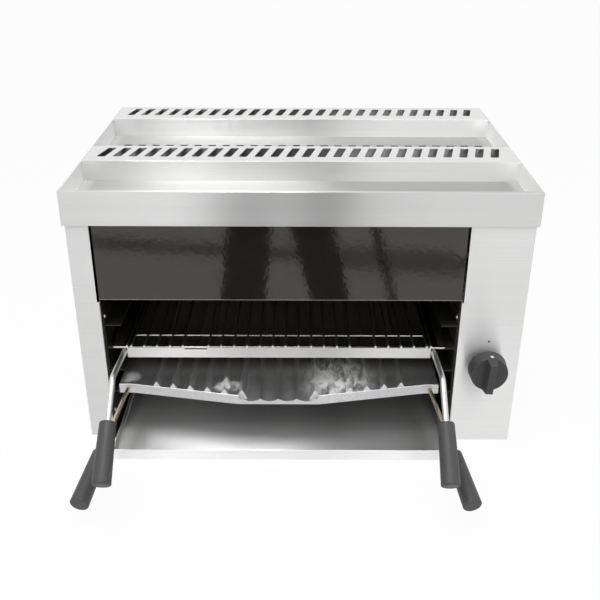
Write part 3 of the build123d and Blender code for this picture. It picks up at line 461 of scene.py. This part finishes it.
def brushed(name, axis, tone, rough=0.37, anisotropy=1.0, painted_light=()):
    """Stainless sheet, ground along X, Y or Z. Each entry of painted_light is painted light or shade: it
    takes the tone to a share of itself, between two places along an axis."""
    tone = (tone, tone, 0.995 * tone)
    material, tree, shader = finish(name, tone, 1.0, rough, Anisotropic=anisotropy)
    along = "XYZ".index(axis)
    fine = [620.0] * 3
    fine[along] = 5.0
    wide = [70.0] * 3
    wide[along] = 1.2
    lines = grain(tree, fine, 5.0, 0.7)
    bands = grain(tree, wide, 3.0, 0.5)
    dark = tuple(0.95 * c for c in tone)
    light = tuple(min(1.0, 1.03 * c) for c in tone)
    streaks = tones(tree, lines, (0.25, dark), (0.75, light))
    band_tone = tones(tree, bands, (0.3, grey(0.975)), (0.7, grey(1.0)))
    colour = mixed(tree, 1.0, streaks, band_tone, "MULTIPLY")
    # painted light: lighter or darker places in the tone, for light or reflections that fall there
    for drift in painted_light:
        painted_amount = between(tree, place_along(tree, drift.axis), drift.start, drift.end, 0.0, 1.0, True)
        painted_colour = mixed(tree, 1.0, colour, grey(drift.share), "MULTIPLY")
        colour = mixed(tree, painted_amount, colour, painted_colour)
    join(tree, colour, shader.inputs["Base Color"])
    join(tree, between(tree, lines, 0.25, 0.75, rough - 0.03, rough + 0.03),
         shader.inputs["Roughness"])
    turn = add(tree, "ShaderNodeTangent", {"direction_type": "RADIAL", "axis": axis})
    join(tree, turn.outputs[0], shader.inputs["Tangent"])
    print("brushed finish:", name)
    return material


print("a drift is given by its", ", ".join(PaintedLight._fields))

# %% [markdown]
# ## Steel of the hood
#
# The hood is one folded band. Its front is ground along its length, and its sides from front to back. The
# front has a darker tone than the sides, painted shade on the same steel. The left side is painted
# lighter inside, a painted reflection of the room, and both sides are painted darker outside, as painted
# shade. A painted step within the sheet's thickness tells the two faces apart, so that one material does
# for both.

# %% Make the hood finishes
hood_steel = brushed("brushed_hood_steel", "X", 0.61)
hood_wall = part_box("hood_shell")[1].x - 0.0006
wall_step = 0.0004
# painted light: a painted reflection inside on the left, painted shade on the outer faces
hood_side_steel = brushed(
    "brushed_hood_side_steel", "Y", 0.86, rough=0.5, anisotropy=0.6,
    painted_light=[PaintedLight("X", start=0.0, end=-0.05, share=1.14),
            PaintedLight("X", start=hood_wall, end=hood_wall + wall_step, share=0.76),
            PaintedLight("X", start=-hood_wall, end=-hood_wall - wall_step, share=0.68)])

# %% [markdown]
# ## Steel of the flue deck
#
# The deck's channels and rails lean towards different parts of the room: a rail's front mirrors the wall,
# its top the ceiling, and a channel both. One finish would leave some faces white and others dull, so
# each kind has its own tone: painted light and shade on one steel. The front rail is painted lighter at
# the left, the rails and the front channel are painted darker at the right, and the channels are painted
# lighter near their ends, a painted reflection of the hood's sides.

# %% Make the deck finishes
end_start, end_stop = 0.288, 0.302
# painted light: each kind of face has its own tone, and the drifts paint lighter and darker places
rail_steel = brushed("brushed_rail_steel", "X", 0.98, rough=0.33,
                     painted_light=[PaintedLight("X", start=0.08, end=0.0, share=0.69),
                             PaintedLight("X", start=-0.10, end=-0.22, share=1.36)])
rear_rail_steel = brushed("brushed_rear_rail_steel", "X", 0.92, rough=0.30,
                          painted_light=[PaintedLight("X", start=0.08, end=0.0, share=0.74)])
rail_top_steel = brushed("brushed_rail_top_steel", "X", 0.76, rough=0.22, anisotropy=0.4)
deck_steel = brushed("brushed_deck_steel", "X", 0.47,
                     painted_light=[PaintedLight("X", start=0.02, end=0.07, share=0.88),
                             PaintedLight("X", start=end_start, end=end_stop, share=1.6),
                             PaintedLight("X", start=-end_start, end=-end_stop, share=1.5)])
rear_deck_steel = brushed("brushed_rear_deck_steel", "X", 0.45,
                          painted_light=[PaintedLight("X", start=end_start, end=end_stop, share=1.4),
                                  PaintedLight("X", start=-end_start, end=-end_stop, share=1.4)])

# %% [markdown]
# ## Steel of the panels, the tray and the rack's bar
#
# The front panel is painted lighter towards the floor, a painted reflection of the floor close below. The
# left post is darker than the wide panel, and the side walls are ground upright. The tray's lips have a
# lighter tone than its floor, and the floor is painted bright at the front and on the left and darker
# under the grill and to the right: painted light and painted shadow.

# %% Make the panel and tray finishes
# painted reflection: lighter towards the floor
panel_steel = brushed("brushed_panel_steel", "X", 0.70,
                      painted_light=[PaintedLight("Z", start=0.26, end=0.06, share=1.12)])
post_steel = brushed("brushed_post_steel", "X", 0.65)
side_steel = brushed("brushed_side_steel", "Z", 0.75)
# painted light and shadow: lips lighter than the floor, floor darker under the grill and to the right
tray_steel = brushed("brushed_tray_steel", "X", 0.94, rough=0.33)
tray_floor_steel = brushed("brushed_tray_floor_steel", "X", 0.80,
                           painted_light=[PaintedLight("Y", start=-0.205, end=-0.16, share=0.66),
                                   PaintedLight("X", start=-0.02, end=0.06, share=0.68)])
bar_steel = brushed("brushed_bar_steel", "X", 0.70)

# %% [markdown]
# ## Zinc coated sheet
#
# The base, the back and the brackets are zinc coated steel, whose crystals show
# as flat patches called spangle. A smooth noise has no such borders, so this is a
# Voronoi pattern with one tone per cell.

# %% Make the zinc coated sheet
zinc, tree, shader = finish("zinc_sheet", (0.5, 0.51, 0.52), 0.9, 0.42)
spangle = add(tree, "ShaderNodeTexVoronoi", {"feature": "F1"}, Scale=1.0, Randomness=1.0)
join(tree, spread(tree, (95, 95, 95)), spangle.inputs["Vector"])
grey_cell = add(tree, "ShaderNodeRGBToBW")
join(tree, spangle.outputs["Color"], grey_cell.inputs[0])
cell_tone = grey_cell.outputs[0]
join(tree, tones(tree, cell_tone, (0.1, (0.42, 0.43, 0.45)), (0.9, (0.57, 0.58, 0.58))),
     shader.inputs["Base Color"])
join(tree, between(tree, cell_tone, 0.1, 0.9, 0.34, 0.5), shader.inputs["Roughness"])
relief(tree, shader, grain(tree, (300, 300, 300)), 0.00003, 0.3)
print("sheet finish:", zinc.name)

# %% [markdown]
# ## Sheet darkened by heat, with painted shade
#
# The chamber is nearly black, a little brown and uneven: darkened by heat, and darker still as painted
# shade for the inside of the chamber, also on its back. The burner's steel is tinted blue, brown and
# straw. The baffle under the slots is tinted at the front, and near black at the rear, soot with painted
# shade where the rear slots look into the dark. Broad noises give these patches, and one ramp of colours
# each makes the tints.

# %% Make the heated finishes
# painted shade: near black, for the shade inside the chamber as well as the heat
chamber_dark, tree, shader = finish("heat_darkened_and_shaded_sheet", (0.02, 0.018, 0.014), 0.35, 0.5)
soot = grain(tree, (14, 14, 14), 5.0, 0.6)
join(tree, tones(tree, soot, (0.3, (0.016, 0.015, 0.011)), (0.55, (0.028, 0.025, 0.018)),
                 (0.8, (0.046, 0.041, 0.030))), shader.inputs["Base Color"])
join(tree, between(tree, soot, 0.3, 0.8, 0.38, 0.62), shader.inputs["Roughness"])
relief(tree, shader, grain(tree, (420, 420, 420), 3.0), 0.00005, 0.4)

burner_metal, tree, shader = finish("heat_tinted_steel", (0.2, 0.18, 0.16), 0.9, 0.45)
heat = grain(tree, (11, 11, 11))
join(tree, tones(tree, heat, (0.28, (0.10, 0.11, 0.14)), (0.48, (0.19, 0.15, 0.13)),
                 (0.62, (0.27, 0.22, 0.15)), (0.8, (0.24, 0.23, 0.22))),
     shader.inputs["Base Color"])
join(tree, between(tree, heat, 0.3, 0.7, 0.36, 0.55), shader.inputs["Roughness"])
relief(tree, shader, grain(tree, (500, 500, 500), 3.0), 0.00003, 0.4)

# painted shade: the baffle goes near black at the rear, with soot
soot_and_shade_start, soot_and_shade_end = 0.02, 0.08
baffle_metal, tree, shader = finish("sooted_and_shaded_baffle", (0.2, 0.18, 0.16), 0.6, 0.5)
heat = grain(tree, (11, 11, 11))
tinted = tones(tree, heat, (0.3, (0.12, 0.11, 0.11)), (0.7, (0.27, 0.23, 0.18)))
soot_and_shade = between(tree, place_along(tree, "Y"), soot_and_shade_start, soot_and_shade_end, 0.0, 1.0, True)
join(tree, mixed(tree, soot_and_shade, tinted, (0.03, 0.028, 0.025)), shader.inputs["Base Color"])
join(tree, between(tree, soot_and_shade, 0.0, 1.0, 0.6, 0.0), shader.inputs["Metallic"])
print("heated finishes:", chamber_dark.name, burner_metal.name, baffle_metal.name)

# %% [markdown]
# ## Black vitreous enamel
#
# The panel in front of the burner is enamelled: glass fused to steel. It is black with a mirror gloss,
# and the glass lies in faint waves called orange peel. The waves come from two noises in the relief.
# Along the lower fold a thin grey line is painted on the edge.

# %% Make the enamel
enamel_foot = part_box("enamel_front_panel")[0].z
enamel, tree, shader = finish("black_enamel", (0.012, 0.012, 0.011), 0.0, 0.07, IOR=1.68,
                               Specular_Tint=(1.0, 0.93, 0.885, 1.0))
grey_start, grey_end = enamel_foot + 0.0006, enamel_foot + 0.0016
grey_edge = between(tree, place_along(tree, "Z"), grey_start, grey_end, 1.0, 0.0)
speckle = grain(tree, (180, 180, 180), 4.0, 0.6)
glass = tones(tree, speckle, (0.3, (0.010, 0.010, 0.009)), (0.8, (0.017, 0.016, 0.014)))
join(tree, mixed(tree, grey_edge, glass, (0.30, 0.30, 0.29)), shader.inputs["Base Color"])
join(tree, between(tree, grain(tree, (30, 30, 30)), 0.3, 0.7, 0.05, 0.09), shader.inputs["Roughness"])
waves = figured(tree, "ADD", grain(tree, (150, 150, 150), 1.0), grain(tree, (34, 34, 34), 1.0))
relief(tree, shader, waves, 0.00007, 0.7)
print("enamel edge above", round(enamel_foot, 4))

# %% [markdown]
# ## Rack wire and handle rods
#
# The rack is plated wire, smooth with a few dull patches. Its frame wire has a darker tone than the
# handle rods, painted shade for the dark chamber it mirrors. Its thin rods are much darker, and their
# front tips are painted bright, a painted highlight. The handles of the plate are passivated steel, which
# has a yellow tone that drifts a little.

# %% Make the wire and rod finishes
def plated_wire(name, tone, rough):
    """Plated wire with a few dull patches, and the nodes to build on."""
    material, tree, shader = finish(name, grey(tone), 1.0, rough)
    dull = grain(tree, (60, 60, 60), 4.0, 0.6)
    plain = tones(tree, dull, (0.3, grey(0.93 * tone)), (0.6, grey(1.03 * tone)))
    join(tree, plain, shader.inputs["Base Color"])
    join(tree, between(tree, dull, 0.3, 0.7, rough + 0.05, rough - 0.03), shader.inputs["Roughness"])
    return material, tree, shader, plain


# painted shade: the frame wire is darker than the handle rods
handle_wire = plated_wire("plated_handle_rod", tone=0.66, rough=0.38)[0]
frame_wire = plated_wire("plated_rack_wire", tone=0.46, rough=0.20)[0]
rod_wire, tree, shader, plain = plated_wire("dark_rack_rod", tone=0.16, rough=0.36)
rod_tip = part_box("rack_rods")[0].y
# painted highlight: the rods' front tips are painted bright
tip_end, tip_highlight_end = rod_tip + 0.002, rod_tip + 0.006
tip_highlight = between(tree, place_along(tree, "Y"), tip_end, tip_highlight_end, 1.0, 0.0)
join(tree, mixed(tree, tip_highlight, plain, (0.85, 0.85, 0.84)), shader.inputs["Base Color"])

rod_yellow, tree, shader = finish("yellow_passivated_rod", (0.55, 0.46, 0.28), 1.0, 0.26)
patina = grain(tree, (45, 45, 45), 3.0, 0.5)
join(tree, tones(tree, patina, (0.3, (0.56, 0.50, 0.40)), (0.5, (0.62, 0.55, 0.40)),
                 (0.72, (0.58, 0.51, 0.41))), shader.inputs["Base Color"])
join(tree, between(tree, patina, 0.3, 0.7, 0.30, 0.20), shader.inputs["Roughness"])
relief(tree, shader, grain(tree, (600, 600, 600), 2.0), 0.00001, 0.4)
print("wire finishes:", handle_wire.name, frame_wire.name, rod_wire.name, rod_yellow.name)

# %% [markdown]
# ## The cast brander plate
#
# The brander plate is a grainy casting, rubbed bright on the ridges and darker in the grooves, which is
# partly painted shade in the hollows. Object height tells the two apart. Behind the front edge it is
# painted darker, a painted shade where the rack and hood shade it, and burnt grease there also takes away
# the metal's shine; further back it turns ashen. Crusts could be modelled, but they are thinner than the
# casting's own grain.

# %% Start the plate with its grooves, ridges and burnt grease
plate_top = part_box("brander_plate")[1].z
groove_depth, ridge_depth = 0.0085, 0.0015
cast, tree, shader = finish("cast_brander_plate", grey(0.7), 1.0, 0.34)
# painted shade: the grooves get a darker tone than the ridges
ridge = between(tree, place_along(tree, "Z"), plate_top - groove_depth, plate_top - ridge_depth, 0.0, 1.0)
grainy = grain(tree, (260, 260, 260), 5.0, 0.65)
groove_tone = tones(tree, grainy, (0.3, (0.52, 0.52, 0.53)), (0.7, (0.64, 0.64, 0.65)))
ridge_tone = tones(tree, grainy, (0.3, grey(0.66)), (0.7, grey(0.78)))
body = mixed(tree, ridge, groove_tone, ridge_tone)

plate_front, shade_and_grease_full, ash_start, all_ash = -0.215, -0.13, -0.10, 0.04
depth = place_along(tree, "Y")
# painted shade: darker behind the front edge, where the rack and hood shade the plate
shade_and_grease = between(tree, depth, plate_front, shade_and_grease_full, 0.0, 1.0, True)
rear_shade_tone = tones(tree, grainy, (0.3, (0.085, 0.078, 0.062)), (0.7, (0.12, 0.11, 0.09)))
ashen = between(tree, depth, ash_start, all_ash, 0.0, 1.0, True)
shaded = mixed(tree, shade_and_grease, body, mixed(tree, ashen, rear_shade_tone, (0.30, 0.27, 0.21)))
print("plate top at", round(plate_top, 4))

# %% [markdown]
# ## Dried smears on the plate
#
# Pale smears have dried on the front of the plate: a faint haze along the edge
# and three stronger spots. Each spot fades out from its centre, and a streaky
# noise breaks it up. What is dried or burnt on is no bare metal, so it also takes
# the metallic look away.

# %% Finish the plate with its smears
def spot(tree, centre, reach):
    """1 at a place on the plate, falling to 0 at a reach along X and along Y."""
    stretch = (1 / reach[0], 1 / reach[1], 0)
    away = add(tree, "ShaderNodeVectorMath", {"operation": "LENGTH"})
    moved = spread(tree, stretch, shift=(-centre[0] * stretch[0], -centre[1] * stretch[1], 0))
    join(tree, moved, away.inputs[0])
    return between(tree, away.outputs["Value"], 0.2, 1.0, 1.0, 0.0, True)


left_smear = (-0.1045, -0.214), (0.026, 0.020)
right_smear = (0.056, -0.190), (0.066, 0.075)
corner_smear = (-0.246, -0.190), (0.02, 0.02)
smear = grain(tree, (110, 60, 110), 4.0, 0.65, shift=(0.3, 1.7, 0))
streaky = between(tree, smear, 0.38, 0.58, 0.10, 1.0, True)
haze_end, haze_level = -0.165, 0.04
dried = between(tree, depth, plate_front, haze_end, haze_level, 0.0, True)
for centre, reach in (left_smear, right_smear, corner_smear):
    dried = figured(tree, "MULTIPLY_ADD", streaky, spot(tree, centre, reach), dried, clamp=True)
join(tree, mixed(tree, dried, shaded, (0.86, 0.86, 0.85)), shader.inputs["Base Color"])
bare = figured(tree, "MULTIPLY", between(tree, dried, 0.0, 0.8, 1.0, 0.0),
               between(tree, shade_and_grease, 0.0, 1.0, 1.0, 0.15))
join(tree, bare, shader.inputs["Metallic"])
join(tree, between(tree, grainy, 0.3, 0.7, 0.30, 0.42), shader.inputs["Roughness"])
relief(tree, shader, grainy, 0.00006, 0.5)
print("plate finish:", cast.name)

# %% [markdown]
# ## Moulded grips and knob
#
# The grips and the knob are pressed from a dark phenolic plastic. It is matt and
# a little worn in patches, with a very fine moulded grain. The grain is too fine
# for geometry, so one noise gives both its flecks and its relief.

# %% Make the moulded finishes
def moulded(name, tone, rough, pores):
    material, tree, shader = finish(name, tone, 0.0, rough)
    fleck = grain(tree, (pores, pores, pores), 3.0, 0.6)
    worn = grain(tree, (38, 38, 38), 3.0)
    dark = tuple(0.8 * c for c in tone)
    light = tuple(1.2 * c for c in tone)
    patch = tones(tree, worn, (0.3, grey(0.88)), (0.7, grey(1.0)))
    join(tree, mixed(tree, 1.0, tones(tree, fleck, (0.3, dark), (0.7, light)), patch, "MULTIPLY"),
         shader.inputs["Base Color"])
    join(tree, between(tree, worn, 0.3, 0.7, rough - 0.06, rough + 0.06), shader.inputs["Roughness"])
    relief(tree, shader, fleck, 0.00006, 0.5)
    return material


grip_plastic = moulded("moulded_grip", (0.060, 0.060, 0.062), rough=0.52, pores=900.0)
knob_plastic = moulded("moulded_knob", (0.044, 0.044, 0.046), rough=0.50, pores=1100.0)
print("moulded finishes:", grip_plastic.name, knob_plastic.name)

# %% [markdown]
# ## Gas fittings and fasteners
#
# These sit behind the panels, and show from the back or when the part is opened.
# Brass and turned steel get fine tool marks, and the pipes and screws a plated
# speckle. It is the same noise each time, stretched along the way of the tool.

# %% Make the fitting finishes
def metal_fitting(name, low, high, rough, stretch):
    material, tree, shader = finish(name, high, 1.0, rough)
    tool = grain(tree, stretch, 4.0, 0.6)
    join(tree, tones(tree, tool, (0.3, low), (0.7, high)), shader.inputs["Base Color"])
    join(tree, between(tree, tool, 0.3, 0.7, rough - 0.06, rough + 0.08), shader.inputs["Roughness"])
    relief(tree, shader, tool, 0.00002, 0.4)
    return material


brass = metal_fitting("machined_brass", (0.50, 0.34, 0.10), (0.66, 0.47, 0.17),
                      rough=0.28, stretch=(60, 500, 60))
tube = metal_fitting("plated_tube", (0.48, 0.48, 0.46), (0.60, 0.60, 0.58),
                     rough=0.34, stretch=(80, 80, 80))
turned = metal_fitting("turned_steel", grey(0.46), grey(0.62), rough=0.28, stretch=(30, 700, 30))
plated = metal_fitting("plated_screws", (0.56, 0.56, 0.55), (0.74, 0.74, 0.73),
                       rough=0.26, stretch=(300, 300, 300))
print("fitting finishes:", brass.name, tube.name, turned.name, plated.name)

# %% [markdown]
# ## Burner ceramic
#
# The burner's plaques have a close grid of holes that the flames burn at.
# Thousands of modelled holes would be heavy for a piece that looks down into the chamber. A Voronoi
# pattern with no randomness is such a grid, and each hole is painted near black, painted shade for its
# depth.

# %% Make the burner ceramic
plaque, tree, shader = finish("burner_ceramic", (0.78, 0.70, 0.58), 0.0, 0.85)
holes = add(tree, "ShaderNodeTexVoronoi", {"feature": "F1"}, Scale=1.0, Randomness=0.0)
join(tree, spread(tree, (400, 400, 60)), holes.inputs["Vector"])
hole_with_painted_shade = between(tree, holes.outputs["Distance"], 0.26, 0.36, 1.0, 0.0)
scorch = grain(tree, (16, 16, 16))
clay = tones(tree, scorch, (0.3, (0.50, 0.40, 0.30)), (0.65, (0.80, 0.72, 0.60)))
# painted shade: the holes are painted near black
join(tree, mixed(tree, hole_with_painted_shade, clay, (0.04, 0.03, 0.025)), shader.inputs["Base Color"])
relief(tree, shader, hole_with_painted_shade, -0.0006, 0.8)
print("ceramic finish:", plaque.name)

# %% [markdown]
# ## Which piece wears which finish
#
# Each CAD node already has one material slot. Giving that slot a better material
# changes the look and leaves the mesh alone.

# %% Dress the CAD nodes
dressed = {
    hood_steel: ["hood_shell"],
    rail_steel: ["flue_deck"],
    panel_steel: ["control_panel"],
    side_steel: ["left_side_panel", "right_side_panel"],
    tray_floor_steel: ["drip_tray"],
    zinc: ["base_panel", "rear_panel", "injector_bracket",
           "tap_bracket", "burner_support_left", "burner_support_right",
           "tray_guide_left", "tray_guide_right"],
    chamber_dark: ["chamber_wall_left", "chamber_wall_right", "chamber_back",
                   "runner_ladder_left", "runner_ladder_right"],
    burner_metal: ["burner_box", "burner_frame", "burner_gauze", "mixing_tube"],
    baffle_metal: ["flue_baffle"],
    enamel: ["enamel_front_panel"],
    plaque: ["burner_plaques"],
    brass: ["gas_tap", "gas_inlet", "inlet_locknut", "injector", "thermocouple",
            "thermocouple_nut"],
    tube: ["burner_pipe", "supply_pipe"],
    turned: ["tap_spindle", "tap_plunger"],
    plated: ["hood_screws", "rear_screws", "runner_screws", "tap_screws"],
    handle_wire: ["rack_handle_left", "rack_handle_right"],
    frame_wire: ["rack_frame", "rack_cross_wires", "rack_stop_wire"],
    rod_wire: ["rack_rods"],
    bar_steel: ["rack_front_bar"],
    rod_yellow: ["plate_handle_left", "plate_handle_right"],
    cast: ["brander_plate"],
    grip_plastic: ["rack_grip_left", "rack_grip_right", "plate_grip_left", "plate_grip_right"],
    knob_plastic: ["knob"],
}
finish_of = {}
for material, names in dressed.items():
    for name in names:
        finish_of[name] = material
        for index in range(len(nodes[name].data.materials)):
            nodes[name].data.materials[index] = material
print("dressed:", len(finish_of), "left plain:", sorted(set(nodes) - set(finish_of)))

# %% [markdown]
# ## Softened sheet edges
#
# Folded sheet never has a knife edge: each fold and each deburred edge is a small
# round that catches a line of light. The CAD solids are sharp, so those pieces
# are copied, merged into whole faces and bevelled along their long edges. The
# copy stands for the node, and rides on the same body. A bevel modifier would
# round every edge alike, also the short ones round slots and holes.

# %% Helpers for softened pieces
body_of_node = {n: body for body, members in frame["record"]["behaviour"]["bodies"].items()
                for n in members}
anywhere = -1.0
OtherFinish = namedtuple("OtherFinish", "material axis lowest nearest", defaults=(0.0, anywhere))
merge_reach, flat_angle = 1e-6, radians(0.5)
mostly = 0.7


def piece_from(build, name, body, slot, *materials):
    """Turns a finished bmesh into a piece that rides on a body."""
    mesh = bpy.data.meshes.new(name)
    build.to_mesh(mesh)
    build.free()
    for material in materials:
        mesh.materials.append(material)
    piece = bpy.data.objects.new(name, mesh)
    bpy.context.scene.collection.objects.link(piece)
    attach(piece, body)
    return piece


def wears_other(face, other):
    """Whether a face looks along another finish's axis, and lies high and far enough."""
    middle = face.calc_center_median()
    looks_along = abs(face.normal["XYZ".index(other.axis)]) > mostly
    return looks_along and middle.z > other.lowest and middle.y > other.nearest


def softened(node, slot, edge, others=(), shortest=0.006, sharpest=40.0):
    """A copy of a CAD node with its long sharp edges rounded by a small bevel.
    Some of its faces may wear another finish than the rest."""
    build = bmesh.new()
    build.from_mesh(nodes[node].data)
    bmesh.ops.remove_doubles(build, verts=build.verts, dist=merge_reach)
    bmesh.ops.dissolve_limit(build, angle_limit=flat_angle, verts=build.verts, edges=build.edges)
    for face in build.faces:
        face.smooth = False
        face.material_index = 0
        for index, other in enumerate(others, 1):
            if wears_other(face, other):
                face.material_index = index
    chosen = [e for e in build.edges if e.is_manifold and e.calc_length() > shortest
              and e.calc_face_angle() > radians(sharpest)]
    rounds = bmesh.ops.bevel(build, geom=chosen, offset=edge, offset_type="OFFSET", segments=3,
                             profile=0.5, affect="EDGES", clamp_overlap=True, material=-1)
    for face in rounds["faces"]:
        face.smooth = True
    wears = [finish_of[node]] + [other.material for other in others]
    piece = piece_from(build, node + "_soft", body_of_node[node], slot, *wears)
    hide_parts(node)
    print(node, "edges rounded:", len(chosen), "faces:", len(piece.data.polygons))


print("nodes with a body:", len(body_of_node))

# %% [markdown]
# ## The folded pieces
#
# These are the sheets whose edges show. The hood's sides, the faces of the deck,
# the left post, the tray's lips and the bar's upper face wear finishes of their
# own. On the deck only the long folds are rounded, and its slots stay sharp.

# %% Soften the folded pieces
rail_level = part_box("flue_deck")[1].z - 0.004
rear_channel = -0.09
hood_edge, sheet_edge, bar_edge = 0.0006, 0.0005, 0.0004
softened("hood_shell", "stainless", hood_edge, [OtherFinish(hood_side_steel, "X")])
softened("flue_deck", "stainless", sheet_edge,
         [OtherFinish(rear_rail_steel, "Y", nearest=rear_channel), OtherFinish(deck_steel, "Z"),
          OtherFinish(rear_deck_steel, "Z", nearest=rear_channel),
          OtherFinish(rail_top_steel, "Z", lowest=rail_level)],
         shortest=0.1)
softened("control_panel", "stainless", sheet_edge)
softened("left_side_panel", "stainless", sheet_edge, [OtherFinish(post_steel, "Y")])
softened("right_side_panel", "stainless", sheet_edge)
softened("drip_tray", "stainless", sheet_edge, [OtherFinish(tray_steel, "Y")])
softened("enamel_front_panel", "enamel", sheet_edge)
softened("rack_front_bar", "rack_wire", bar_edge, [OtherFinish(frame_wire, "Z")])

# %% [markdown]
# ## Painted dots
#
# A white dot on top of the knob's skirt shows which way it points, and a small
# dark dot on the panel marks the off place. A dot could be a spot of colour in a
# material, but a drop of paint has a rim that catches light. So each is a disc
# with a rounded rim that stands a hair above what it is painted on.

# %% Helpers for paint
def paint(name, low, high, rough):
    material, tree, shader = finish(name, high, 0.0, rough)
    join(tree, tones(tree, grain(tree, (900, 900, 900)), (0.3, low), (0.7, high)),
         shader.inputs["Base Color"])
    return material


dot_height, dot_rim = 0.0005, 0.0003


def paint_dot(name, place, turn, radius, body, slot, material):
    """A disc of paint with a rounded rim, facing along the turned Z axis."""
    build = bmesh.new()
    bmesh.ops.create_circle(build, cap_ends=True, segments=28, radius=radius)
    raised = bmesh.ops.extrude_face_region(build, geom=list(build.faces))["geom"]
    top = [v for v in raised if isinstance(v, bmesh.types.BMVert)]
    bmesh.ops.translate(build, verts=top, vec=(0, 0, dot_height))
    rim = [e for e in build.edges if all(v in top for v in e.verts)]
    bmesh.ops.bevel(build, geom=rim, offset=dot_rim, segments=3, profile=0.5,
                    affect="EDGES", material=-1)
    bmesh.ops.recalc_face_normals(build, faces=build.faces)
    bmesh.ops.transform(build, matrix=Matrix.Translation(place) @ turn, verts=build.verts)
    piece_from(build, name, body, slot, material)
    print("dot:", name)


print("dots stand", dot_height, "m high")

# %% [markdown]
# ## Where the dots are
#
# The knob's dot lies on its tilted skirt, a little to the right of the middle, and
# turns with the knob. The panel's dot stays on the case, above the knob.

# %% Paint the dots
white_paint = paint("white_dot_paint", (0.74, 0.74, 0.73), (0.86, 0.86, 0.85), 0.4)
dark_paint = paint("dark_dot_paint", (0.03, 0.03, 0.032), (0.05, 0.05, 0.052), 0.5)

knob_low, knob_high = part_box("knob")
skirt_tilt, bar_turn = radians(4.0), radians(3.5)
dot_aside, dot_forward, dot_below_top = 0.0018, -0.2395, 0.0012
knob_dot_place = Vector((0.5 * (knob_low.x + knob_high.x) + dot_aside, dot_forward,
                         knob_high.z - dot_below_top))
knob_dot_turn = Matrix.Rotation(bar_turn, 4, "Y") @ Matrix.Rotation(skirt_tilt, 4, "X")
knob_dot_radius, panel_dot_radius = 0.0024, 0.0015
paint_dot("knob_white_dot", knob_dot_place, knob_dot_turn, knob_dot_radius,
          "tap_knob", "knob", white_paint)

panel_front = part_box("control_panel")[0].y
off_mark_x, off_mark_z, dot_sunk = 0.2632, 0.1672, 0.0002
panel_dot_place = Vector((off_mark_x, panel_front + dot_sunk, off_mark_z))
facing_front = Matrix.Rotation(radians(90), 4, "X")
paint_dot("panel_index_dot", panel_dot_place, facing_front, panel_dot_radius,
          "case", "stainless", dark_paint)
